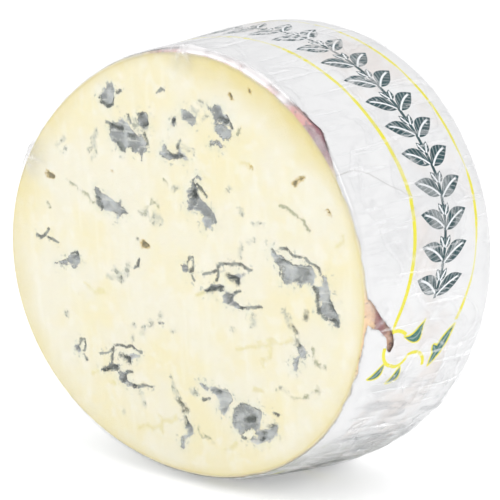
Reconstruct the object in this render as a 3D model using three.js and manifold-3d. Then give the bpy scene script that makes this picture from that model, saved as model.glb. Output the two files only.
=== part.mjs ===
// The end piece of a small cylindrical blue cheese, cut square across its length.
// It lies on its round side: the cheese itself, the printed paper round its rind, and the cling
// film stretched over its cut face and turned in behind. Millimetres, +Z up.
// Each skin is described from the middle of the cut face: the cheese's axis runs back along +Y,
// and an angle goes round that axis from +X towards +Z.
import * as THREE from 'three';
import { mergeVertices } from 'three/addons/utils/BufferGeometryUtils.js';
import Module from 'manifold-3d';

const CUT_RADIUS = 60; // mean radius of the cut face
const LENGTH = 59; // from the cut face to the flat heel
const SWELL = [0.115, 0.09]; // how far the side swells towards the heel, by length and length squared
const SHOULDER_POWERS = [4, 9]; // how square the round shoulder at the heel is
const HEEL_LEVEL = 58.8; // the heel is flat from here
const CUT_LEAN = -0.088; // the cut face leans forward at the top by this slope
const SAG_LEVEL = 59.9; // below this depth the cheese has settled flat

// How far the round section is from a true circle, as cosine and sine parts of two and three waves.
const OUT_OF_ROUND = [
  { waves: 2, cos: 0.036, sin: 0.0286 },
  { waves: 3, cos: -0.0129, sin: -0.0106 },
];

const PAPER_GAP = 0.3; // from the rind to the paper
const PAPER_THICKNESS = 0.5;
const FILM_GAP = 0.3; // from the paper to the film, and from the cut face to the film
const FILM_THICKNESS = 0.4;

const SEGMENTS = 72; // round the axis
const SIDE_RINGS = 6; // from the cut face to the shoulder
const SHOULDER_RINGS = [0.95, 0.91, 0.86, 0.78, 0.6]; // each ring's share of the radius there
const FILM_OPENING = 0.36; // the film's opening in the heel, as a share of the radius

// How far the paper's edge stands back from the cut, in mm at each angle in degrees.
const PAPER_EDGE = [
  [28, 0.6], [34, 1.5], [40, 3.6], [46, 2.2], [52, 1.0],
  [58, 2.2], [66, 2.8], [76, 3.0], [84, 1.8], [92, 0.6],
];
const PAPER_EDGE_ELSEWHERE = 0.6;

// The tear in the paper on the right side, as y and z in mm round its edge.
const TEAR = [
  [-6, 2.2], [-1, 1.1], [1.2, -0.4], [2.8, -2.1], [7, -6.8], [10.8, -10.8], [11.7, -13],
  [10.9, -15.6], [9, -12.9], [6.9, -10], [5, -8.4], [2.8, -7.8], [0.5, -6.3], [-6, -3.3],
];
const TEAR_DEPTH = { from: 40, to: 90 }; // in x, through the paper and nothing else

const CUT_PASSES = 4; // enough to find the cut's edge to a thousandth of a millimetre
const COORDINATES = 3; // to a vertex

// The section's radius at an angle, against the mean.
function roundness(angle) {
  return OUT_OF_ROUND.reduce(
    (sum, part) =>
      sum + part.cos * Math.cos(part.waves * angle) + part.sin * Math.sin(part.waves * angle),
    1,
  );
}

// The swelling of the side at a share of the length.
function swelling(share) {
  return 1 + SWELL[0] * share + SWELL[1] * share * share;
}

// The share of the swollen radius that the rounded shoulder leaves at a share of the length.
function shoulder(share) {
  return (1 - Math.abs(share) ** SHOULDER_POWERS[0]) ** (1 / SHOULDER_POWERS[1]);
}

// The share of the length at which the shoulder leaves a share of the radius.
function shoulderPlace(radiusShare) {
  return (1 - radiusShare ** SHOULDER_POWERS[1]) ** (1 / SHOULDER_POWERS[0]);
}

// The point at an angle and a radius, kept above the level to which the cheese has settled.
function skinPoint(angle, radius, y, offset) {
  return new THREE.Vector3(
    radius * Math.cos(angle),
    y,
    Math.max(radius * Math.sin(angle), -(SAG_LEVEL + offset)),
  );
}

// The point of the side at an angle and a length, on the skin that stands off by an offset.
function sidePoint(angle, y, offset) {
  const share = y / (LENGTH + offset);
  const radius = (CUT_RADIUS + offset) * roundness(angle) * swelling(share) * shoulder(share);
  return skinPoint(angle, radius, y, offset);
}

function angles() {
  return Array.from({ length: SEGMENTS }, (_, i) => (i * 2 * Math.PI) / SEGMENTS);
}

// Where the leaning cut meets a skin at an angle, with a stand-back from the cut. Each pass
// takes the height that the last one found.
function cutPlace(angle, offset, standBack) {
  let y = 0;
  for (let pass = 0; pass < CUT_PASSES; pass += 1) {
    y = CUT_LEAN * sidePoint(angle, y, offset).z + standBack;
  }
  return y;
}

// The rings of the side, from the cut to the start of the shoulder. standBack gives the
// distance from the cut at each angle.
function sideRings(offset, standBack) {
  const end = shoulderPlace(SHOULDER_RINGS[0]) * (LENGTH + offset);
  return Array.from({ length: SIDE_RINGS }, (_, ring) =>
    angles().map((angle) => {
      const start = cutPlace(angle, offset, standBack(angle));
      return sidePoint(angle, THREE.MathUtils.lerp(start, end, ring / SIDE_RINGS), offset);
    }),
  );
}

// The rings of the shoulder and heel, each at its share of the radius.
function heelRings(offset, shares) {
  return shares.map((radiusShare) => {
    const share = shoulderPlace(radiusShare);
    const radius = (CUT_RADIUS + offset) * radiusShare * swelling(share);
    const y = Math.min((LENGTH + offset) * share, HEEL_LEVEL + offset);
    return angles().map((angle) => skinPoint(angle, radius * roundness(angle), y, offset));
  });
}

function pole(y) {
  return new THREE.Vector3(0, y, 0);
}

// A closed body: a first pole, rings of SEGMENTS points each, and a last pole. Every quad is
// split from its corner nearer the cut, so that nested skins keep their gap.
function ringBody(firstPole, rings, lastPole) {
  const points = [firstPole, ...rings.flat(), lastPole];
  const at = (ring, segment) => 1 + ring * SEGMENTS + (segment % SEGMENTS);
  const lastRing = rings.length - 1;
  const index = [];
  for (let s = 0; s < SEGMENTS; s += 1) {
    index.push(0, at(0, s), at(0, s + 1));
    for (let r = 0; r < lastRing; r += 1) {
      const quad = [at(r, s), at(r + 1, s), at(r + 1, s + 1), at(r, s + 1)];
      const split = rings[r][s].y <= rings[r + 1][s].y ? [0, 1, 2, 0, 2, 3] : [0, 1, 3, 1, 2, 3];
      index.push(...split.map((corner) => quad[corner]));
    }
    index.push(points.length - 1, at(lastRing, s + 1), at(lastRing, s));
  }
  return new THREE.BufferGeometry().setFromPoints(points).setIndex(index);
}

const wasm = await Module();
wasm.setup();

// A geometry as a manifold-3d solid.
function solidOf(geometry) {
  const bare = geometry.clone();
  bare.deleteAttribute('normal');
  bare.deleteAttribute('uv');
  const merged = mergeVertices(bare);
  return new wasm.Manifold(new wasm.Mesh({
    numProp: COORDINATES,
    vertProperties: merged.attributes.position.array,
    triVerts: new Uint32Array(merged.index.array),
  }));
}

// One geometry with another cut out of it.
function cutAway(body, cutter) {
  const mesh = solidOf(body).subtract(solidOf(cutter)).getMesh();
  return new THREE.BufferGeometry()
    .setAttribute('position', new THREE.BufferAttribute(mesh.vertProperties, COORDINATES))
    .setIndex(new THREE.BufferAttribute(mesh.triVerts, 1));
}

function named(name, geometry, look) {
  geometry.computeVertexNormals();
  const mesh = new THREE.Mesh(geometry, new THREE.MeshStandardMaterial(look));
  mesh.name = name;
  return mesh;
}

// Paste and rind, formed as one.
function cheese() {
  const body = ringBody(
    pole(0),
    [...sideRings(0, () => 0), ...heelRings(0, SHOULDER_RINGS)],
    pole(HEEL_LEVEL),
  );
  return named('cheese', body, { color: 0xf3eed6, roughness: 0.55, metalness: 0 });
}

// The stand-back of the paper's edge at an angle, with straight stretches between its points.
function paperStandBack(angle) {
  const degrees = THREE.MathUtils.radToDeg(angle);
  const next = PAPER_EDGE.findIndex((point) => point[0] > degrees);
  if (next < 1) return PAPER_EDGE_ELSEWHERE;
  const [before, after] = [PAPER_EDGE[next - 1], PAPER_EDGE[next]];
  const share = (degrees - before[0]) / (after[0] - before[0]);
  return THREE.MathUtils.lerp(before[1], after[1], share);
}

// The slot that the tear takes out of the paper, run along X through the right side.
function tearCutter() {
  const outline = new THREE.Shape(TEAR.map(([y, z]) => new THREE.Vector2(y, z)));
  const slot = new THREE.ExtrudeGeometry(outline, {
    depth: TEAR_DEPTH.to - TEAR_DEPTH.from,
    bevelEnabled: false,
  });
  const turned = new THREE.Matrix4().makeBasis(
    new THREE.Vector3(0, 1, 0),
    new THREE.Vector3(0, 0, 1),
    new THREE.Vector3(1, 0, 0),
  );
  return slot.applyMatrix4(turned).translate(TEAR_DEPTH.from, 0, 0);
}

// A cup of paper over the side and the heel, open at the cut, with a tear in its edge.
function paperWrapper() {
  const inside = PAPER_GAP;
  const outside = PAPER_GAP + PAPER_THICKNESS;
  const inner = [...sideRings(inside, paperStandBack), ...heelRings(inside, SHOULDER_RINGS)];
  const outer = [...sideRings(outside, paperStandBack), ...heelRings(outside, SHOULDER_RINGS)];
  const cup = ringBody(
    pole(HEEL_LEVEL + inside),
    [...inner.reverse(), ...outer],
    pole(HEEL_LEVEL + outside),
  );
  return named('paper_wrapper', cutAway(cup, tearCutter()), {
    color: 0xe9e8ee,
    roughness: 0.6,
    metalness: 0,
  });
}

// A cup of film over the cut face and the side, turned in over the heel and open in its middle.
function clingFilm() {
  const inside = PAPER_GAP + PAPER_THICKNESS + FILM_GAP;
  const outside = inside + FILM_THICKNESS;
  const heel = [...SHOULDER_RINGS, FILM_OPENING];
  const standOff = { inner: -FILM_GAP, outer: -FILM_GAP - FILM_THICKNESS };
  const outer = [...sideRings(outside, () => standOff.outer), ...heelRings(outside, heel)];
  const inner = [...sideRings(inside, () => standOff.inner), ...heelRings(inside, heel)];
  const cup = ringBody(
    pole(standOff.outer),
    [...outer, ...inner.reverse()],
    pole(standOff.inner),
  );
  return named('cling_film', cup, {
    color: 0xffffff,
    roughness: 0.1,
    metalness: 0,
    transparent: true,
    opacity: 0.25,
  });
}

// Stands the whole piece on the ground, with the middle of its box over the origin.
function standOnOrigin(group) {
  const box = new THREE.Box3().setFromObject(group);
  const middle = box.getCenter(new THREE.Vector3());
  for (const mesh of group.children) mesh.position.set(-middle.x, -middle.y, -box.min.z);
  return group;
}

const part = new THREE.Group();
part.add(cheese(), paperWrapper(), clingFilm());

export default standOnOrigin(part);
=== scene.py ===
import math

import bpy
import numpy as np
from mathutils import Matrix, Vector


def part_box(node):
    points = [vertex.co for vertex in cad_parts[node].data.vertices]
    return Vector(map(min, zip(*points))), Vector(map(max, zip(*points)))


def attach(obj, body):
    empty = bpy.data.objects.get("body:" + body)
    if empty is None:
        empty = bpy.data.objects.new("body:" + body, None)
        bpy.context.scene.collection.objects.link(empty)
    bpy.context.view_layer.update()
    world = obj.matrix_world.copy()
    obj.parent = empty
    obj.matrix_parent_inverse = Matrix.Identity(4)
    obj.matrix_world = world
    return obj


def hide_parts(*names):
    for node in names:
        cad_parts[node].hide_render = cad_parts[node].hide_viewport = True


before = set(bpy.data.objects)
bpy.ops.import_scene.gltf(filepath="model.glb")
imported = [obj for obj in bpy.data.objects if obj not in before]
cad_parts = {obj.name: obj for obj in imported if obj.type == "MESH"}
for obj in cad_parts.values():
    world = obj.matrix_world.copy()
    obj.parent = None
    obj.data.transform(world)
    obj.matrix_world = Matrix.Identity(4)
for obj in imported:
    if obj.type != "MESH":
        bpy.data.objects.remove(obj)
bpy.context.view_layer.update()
print("frame loaded")

millimetre = 0.001

# The cheese's own shape, in millimetres from the middle of its cut face. Its axis runs back along
# +Y, and an angle goes round that axis from +X towards +Z.
cheeseShape = {
    "cutRadius": 60.0,
    "length": 59.0,
    "swell": (0.115, 0.09),  # by length and by length squared
    "shoulderPowers": (4, 9),
    "shoulderStart": 0.95,  # share of the radius where the shoulder's rings begin
    "outOfRound": ((2, 0.036, 0.0286), (3, -0.0129, -0.0106)),  # waves, cosine part, sine part
    "cutLean": -0.088,
    "sagLevel": 59.9,
    "heelLevel": 58.8,
    "edgeRound": 1.3,  # the cut edge is softened over this distance
    "edgeDrop": 0.3,  # and by this share of it
    "noiseRadius": 62,  # noise round the side is taken along a circle of this radius
}
farAway = 30.0  # a distance that stands for no mould near


# One plus a cosine and a sine for each number of waves: the section's radius against a circle's.
def roundness(angle):
    total = np.ones_like(angle)
    for waves, cosPart, sinPart in cheeseShape["outOfRound"]:
        total = total + cosPart * np.cos(waves * angle) + sinPart * np.sin(waves * angle)
    return total


# One plus a first and a second power of the share of the length.
def swelling(share):
    first, second = cheeseShape["swell"]
    return 1 + first * share + second * share**2


# The share of the length where the shoulder leaves a share of the radius: the fourth root of one
# less its ninth power.
def shoulderPlace(radiusShare):
    along, across = cheeseShape["shoulderPowers"]
    return (1 - radiusShare**across) ** (1 / along)


# The mean radius, out of round, swollen by the length and closed by the shoulder.
def sideRadius(angle, y, off):
    along, across = cheeseShape["shoulderPowers"]
    share = y / (cheeseShape["length"] + off)
    closing = (1 - np.abs(np.clip(share, -0.999, 0.999)) ** along) ** (1 / across)
    return (cheeseShape["cutRadius"] + off) * roundness(angle) * swelling(share) * closing


# The length where the leaning cut meets a skin: each pass takes the last one's height.
def cutEdge(angle, off, standBack):
    y = np.zeros_like(angle)
    for _ in range(4):
        y = cheeseShape["cutLean"] * sideRadius(angle, y, off) * np.sin(angle) + standBack
    return y


# The settled underside: nothing lies lower than the sag level.
def settled(x, y, z, off):
    return np.stack([x, y, np.maximum(z, -(cheeseShape["sagLevel"] + off))], axis=-1)


# A skin round the side and the heel. run goes from 0 at the cut to 1 at the shoulder, even in
# length, and on to 2 at the middle of the heel, even in radius. off is how far it stands out.
def skin(angle, run, off, standBack):
    length = cheeseShape["length"] + off
    radiusShare = cheeseShape["shoulderStart"] * (2 - np.clip(run, 1, 2))
    heelShare = shoulderPlace(radiusShare)
    start = cutEdge(angle, off, standBack)
    end = shoulderPlace(cheeseShape["shoulderStart"]) * length
    sideY = start + (end - start) * np.clip(run, 0, 1)
    heelY = np.minimum(length * heelShare, cheeseShape["heelLevel"] + off)
    heelRadius = (cheeseShape["cutRadius"] + off) * roundness(angle) * swelling(heelShare) * radiusShare
    onSide = run < 1
    y = np.where(onSide, sideY, heelY)
    radius = np.where(onSide, sideRadius(angle, sideY, off), heelRadius)
    return radius, y


# How far the softened edge falls back at a distance from the cut edge: a parabola.
def edgeFall(distance):
    reach = cheeseShape["edgeRound"]
    return cheeseShape["edgeDrop"] * reach * np.clip(1 - distance / reach, 0, 1) ** 2


# Random heights from -1 to 1 on a grid of square cells, joined by a smooth cubic. With wrap, the
# first coordinate comes round again after that length.
def valueNoise(u, v, cell, seed, wrap=None):
    size = 512
    columns = size if wrap is None else max(2, round(wrap / cell))
    cellU = cell if wrap is None else wrap / columns
    heights = np.random.default_rng(seed).uniform(-1, 1, (columns, size))
    u, v = u / cellU, v / cell
    i, j = np.floor(u).astype(int), np.floor(v).astype(int)
    fu, fv = u - i, v - j
    fu, fv = fu * fu * (3 - 2 * fu), fv * fv * (3 - 2 * fv)
    i0, i1, j0, j1 = i % columns, (i + 1) % columns, j % size, (j + 1) % size
    low = heights[i0, j0] * (1 - fu) + heights[i1, j0] * fu
    high = heights[i0, j1] * (1 - fu) + heights[i1, j1] * fu
    return low * (1 - fv) + high * fv


# Value noise with each octave half as large and half as strong as the last.
def fractal(u, v, cell, seed, octaves=3, wrap=None):
    total = sum(valueNoise(u, v, cell / 2**k, seed + k, wrap) / 2**k for k in range(octaves))
    return total / sum(0.5**k for k in range(octaves))


# A crumple: sharp creases where two fractals cross zero, flat facets between.
def crumple(u, v, cell, seed, wrap=None):
    first = 1 - np.abs(fractal(u, v, cell, seed, 2, wrap)) * 2.2
    second = 1 - np.abs(fractal(u, v, cell * 0.6, seed + 9, 2, wrap)) * 2.2
    return np.clip(first, -1, 1) * 0.65 + np.clip(second, -1, 1) * 0.35


# The usual smooth step, from 0 at low to 1 at high.
def step(value, low, high):
    t = np.clip((value - low) / (high - low), 0, 1)
    return t * t * (3 - 2 * t)


# Where the cheese's own frame stands in the shared frame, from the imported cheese's box.
def localOrigin():
    low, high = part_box("cheese")
    angle = np.linspace(0, 2 * np.pi, 721)
    radius, _ = skin(angle, np.full_like(angle, 0.97), 0.0, 0.0)
    middleX = (radius * np.cos(angle)).max() / 2 + (radius * np.cos(angle)).min() / 2
    return np.array([
        (low[0] + high[0]) / 2 - middleX * millimetre,
        high[1] - cheeseShape["heelLevel"] * millimetre,
        low[2] + cheeseShape["sagLevel"] * millimetre,
    ])


originPlace = localOrigin()


# Puts points and faces into a mesh object in the shared frame, with its point fields and UV maps.
def makePiece(name, points, faces, fields=None, maps=None):
    mesh = bpy.data.meshes.new(name)
    mesh.from_pydata(points * millimetre + originPlace, [], faces)
    for key, values in (fields or {}).items():
        layer = mesh.attributes.new(key, "FLOAT", "POINT")
        layer.data.foreach_set("value", np.ascontiguousarray(values, dtype=np.float32))
    for key, corners in (maps or {}).items():
        layer = mesh.uv_layers.new(name=key)
        layer.data.foreach_set("uv", np.ascontiguousarray(corners, dtype=np.float32).ravel())
    mesh.polygons.foreach_set("use_smooth", np.ones(len(mesh.polygons), dtype=bool))
    mesh.update()
    piece = bpy.data.objects.new(name, mesh)
    bpy.context.collection.objects.link(piece)
    return piece


# The quads between rings of points, each ring closed on itself, as point numbers.
def ringQuads(rings):
    after = np.roll(rings, -1, axis=1)
    quads = np.stack([rings[:-1], rings[1:], after[1:], after[:-1]], axis=-1)
    return quads.reshape(-1, 4)


# The triangles that close a ring on a pole.
def poleFan(ring, pole, outwards):
    after = np.roll(ring, -1)
    fan = np.stack([np.full_like(ring, pole), ring, after], axis=-1)
    return fan if outwards else fan[:, ::-1]


# The shader helpers from here on each add a node or two to a tree and give the output.


def feed(tree, socket, value):
    if isinstance(value, bpy.types.NodeSocket):
        tree.links.new(value, socket)
    else:
        socket.default_value = value


def calc(tree, operation, *values, clamp=False):
    node = tree.nodes.new("ShaderNodeMath")
    node.operation = operation
    node.use_clamp = clamp
    for socket, value in zip(node.inputs, values):
        feed(tree, socket, value)
    return node.outputs[0]


def times(tree, first, second, clamp=False):
    return calc(tree, "MULTIPLY", first, second, clamp=clamp)


def plus(tree, first, second, clamp=False):
    return calc(tree, "ADD", first, second, clamp=clamp)


def minus(tree, first, second, clamp=False):
    return calc(tree, "SUBTRACT", first, second, clamp=clamp)


def larger(tree, first, second):
    return calc(tree, "MAXIMUM", first, second)


def vectorCalc(tree, operation, *values):
    node = tree.nodes.new("ShaderNodeVectorMath")
    node.operation = operation
    for socket, value in zip(node.inputs, values):
        feed(tree, socket, value)
    return node.outputs["Value"] if operation == "LENGTH" else node.outputs["Vector"]


# 0 at low, 1 at high, smooth between.
def rise(tree, value, low, high):
    node = tree.nodes.new("ShaderNodeMapRange")
    node.interpolation_type = "SMOOTHSTEP"
    feed(tree, node.inputs["Value"], value)
    feed(tree, node.inputs["From Min"], low)
    feed(tree, node.inputs["From Max"], high)
    return node.outputs["Result"]


def blend(tree, factor, first, second):
    node = tree.nodes.new("ShaderNodeMix")
    node.data_type = "RGBA"
    for socket, value in zip((node.inputs[0], node.inputs[6], node.inputs[7]), (factor, first, second)):
        feed(tree, socket, value)
    return node.outputs[2]


# A base colour with a tone laid over it where a mask is, as strong as an amount.
def tint(tree, base, mask, amount, tone):
    return blend(tree, times(tree, mask, amount), base, tone)


def cloud(tree, vector, scale, detail=3.0, roughness=0.5, distortion=0.0):
    node = tree.nodes.new("ShaderNodeTexNoise")
    feed(tree, node.inputs["Vector"], vector)
    feed(tree, node.inputs["Scale"], scale)
    node.inputs["Detail"].default_value = detail
    node.inputs["Roughness"].default_value = roughness
    node.inputs["Distortion"].default_value = distortion
    return node.outputs["Fac"]


def field(tree, name):
    node = tree.nodes.new("ShaderNodeAttribute")
    node.attribute_name = name
    return node.outputs["Fac"]


def mapped(tree, name):
    node = tree.nodes.new("ShaderNodeUVMap")
    node.uv_map = name
    return node.outputs["UV"]


def parted(tree, vector):
    node = tree.nodes.new("ShaderNodeSeparateXYZ")
    feed(tree, node.inputs["Vector"], vector)
    return node.outputs


def flatPlace(tree, x, y):
    node = tree.nodes.new("ShaderNodeCombineXYZ")
    feed(tree, node.inputs["X"], x)
    feed(tree, node.inputs["Y"], y)
    return node.outputs["Vector"]


# A place turned and then scaled, so that a noise read there is drawn out one way.
def drawnOut(tree, vector, turn, scale):
    node = tree.nodes.new("ShaderNodeMapping")
    feed(tree, node.inputs["Vector"], vector)
    node.inputs["Rotation"].default_value = turn
    node.inputs["Scale"].default_value = scale
    return node.outputs["Vector"]


# A place seen from a centre, with an angle taken off its direction.
def turnedPlace(tree, place, centre, angle):
    node = tree.nodes.new("ShaderNodeVectorRotate")
    node.rotation_type = "Z_AXIS"
    feed(tree, node.inputs["Vector"], vectorCalc(tree, "SUBTRACT", place, centre))
    feed(tree, node.inputs["Angle"], times(tree, angle, -1.0))
    return node.outputs["Vector"]


def objectPlace(tree):
    return tree.nodes.new("ShaderNodeTexCoord").outputs["Object"]


def bump(tree, height, strength, distance):
    node = tree.nodes.new("ShaderNodeBump")
    node.inputs["Strength"].default_value = strength
    node.inputs["Distance"].default_value = distance
    feed(tree, node.inputs["Height"], height)
    return node.outputs["Normal"]


def colour(red, green, blue):
    return (red, green, blue, 1.0)


def newMaterial(name):
    material = bpy.data.materials.new(name)
    material.use_nodes = True
    material.node_tree.nodes.clear()
    return material, material.node_tree


def finishMaterial(tree, shader):
    output = tree.nodes.new("ShaderNodeOutputMaterial")
    tree.links.new(shader, output.inputs["Surface"])


def principled(tree, settings):
    node = tree.nodes.new("ShaderNodeBsdfPrincipled")
    for key, value in settings.items():
        feed(tree, node.inputs[key], value)
    return node.outputs["BSDF"]


# A shader group. An input is a vector or a plain value by what it starts from, and each output is
# a plain value.
def newGroup(name, inputs, outputs):
    tree = bpy.data.node_groups.new(name, "ShaderNodeTree")
    for label, value in inputs.items():
        kind = "NodeSocketVector" if isinstance(value, tuple) else "NodeSocketFloat"
        socket = tree.interface.new_socket(label, in_out="INPUT", socket_type=kind)
        socket.default_value = value
    for label in outputs:
        tree.interface.new_socket(label, in_out="OUTPUT", socket_type="NodeSocketFloat")
    return tree, tree.nodes.new("NodeGroupInput").outputs, tree.nodes.new("NodeGroupOutput").inputs


def useGroup(tree, group, **values):
    node = tree.nodes.new("ShaderNodeGroup")
    node.node_tree = group
    for key, value in values.items():
        feed(tree, node.inputs[key], value)
    return node.outputs


# Fine creases for paper and film: the ridges of a stretched noise.
def makeCreaseGroup():
    tree, given, out = newGroup(
        "creases", {"Vector": (0, 0, 0), "Scale": 100.0, "Sharpness": 6.0}, ("Height",))
    noise = cloud(tree, given["Vector"], given["Scale"], 2.0, 0.5, 0.6)
    away = calc(tree, "ABSOLUTE", minus(tree, noise, 0.5))
    ridge = minus(tree, 1.0, times(tree, away, given["Sharpness"]), clamp=True)
    tree.links.new(ridge, out["Height"])
    return tree


# Blotches: a noise cut between two levels, for stains, bloom and mottling.
def makeBlotchGroup():
    tree, given, out = newGroup(
        "blotches", {"Vector": (0, 0, 0), "Scale": 100.0, "Low": 0.4, "High": 0.6}, ("Mask",))
    noise = cloud(tree, given["Vector"], given["Scale"], 4.0, 0.6)
    tree.links.new(rise(tree, noise, given["Low"], given["High"]), out["Mask"])
    return tree


creaseGroup = makeCreaseGroup()
blotchGroup = makeBlotchGroup()
print("shader groups made")

# The mould in the cut face, in millimetres as x and z. "patches" are the outlines of open hollows
# lined with mould, and the rest are strokes of (x, z, half width): "grey" more of that lining,
# "line" crisp dark edges and cracks, "core" soft deep places with painted shade, "faint" mould just
# under the surface, "green" thin young veins, "vein" yellow ones and "ochre" small ripe eyes.
# A knot of cracks and a small ring come up twice, alike.
knotPatches = [
    [(17, -3.6), (18.4, -4.2), (20.4, -3.2), (19.6, -5.4), (19.8, -6.2), (22, -7), (24.2, -7.6),
     (22, -8), (18, -7.2), (16.4, -6.6), (16.6, -5)],
    [(18, 0.8), (19.4, 0.6), (20.6, 1.2), (23.4, 2), (24.6, 1.6), (22.4, 0.6), (21.8, -0.4), (21, -1.4),
     (20, -0.4), (18.2, 0)],
    [(9.6, -5.2), (12.6, -4.4), (15.4, -3.6), (17, -3.8), (16.8, -2), (15.2, -2.1), (12.6, -2.9),
     (10.4, -4)],
]
knotLines = [
    [(9.8, 0, 0.25), (12.6, 0.6, 0.25), (14.4, 1.6, 0.35), (15.8, 3.5, 0.3), (20, 3.6, 0.3),
     (22.8, 4.1, 0.35), (25, 3.0, 0.4), (26, 3.0, 0.4)],
    [(15.6, 3, 0.3), (15, 0.8, 0.28), (14.5, -1.4, 0.38)],
    [(10.4, -4.8, 0.3), (13.4, -4.1, 0.3), (16.4, -3.6, 0.3)],
    [(22, -7.6, 0.35), (25, -7, 0.3), (29, -6.4, 0.26)],
    [(20, -3.6, 0.32), (22, -3.2, 0.26)],
]
knotCores = [
    [(18.2, 0.6, 0.3), (20, 0.1, 0.5), (21.2, -0.8, 0.4)],
    [(10.8, -4.6, 0.1), (15.6, -2.9, 0.2)],
    [(18.4, -5, 0.1), (18, -6.4, 0.2)],
]
ringPatches = [[(2.4, 1.2), (3.6, 2), (4.6, 1), (5, 0), (3.8, -0.6), (2.6, 0.2)]]
ringLines = [
    [(4.4, 2, 0.28), (5.2, 3.6, 0.35), (6.6, 4, 0.3), (6.8, 2.4, 0.26)],
    [(6.8, 2.4, 0.26), (6.2, 0.6, 0.26), (5.2, 0.4, 0.26)],
    [(5.6, -0.8, 0.3), (6.6, -2.2, 0.45)],
]


# The same outlines or strokes somewhere else.
def moved(shapes, x, z):
    return [[(px + x, pz + z, *rest) for px, pz, *rest in shape] for shape in shapes]


secondKnot, secondRing = (-40.4, -28.3), (-42.6, -28.8)

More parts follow.
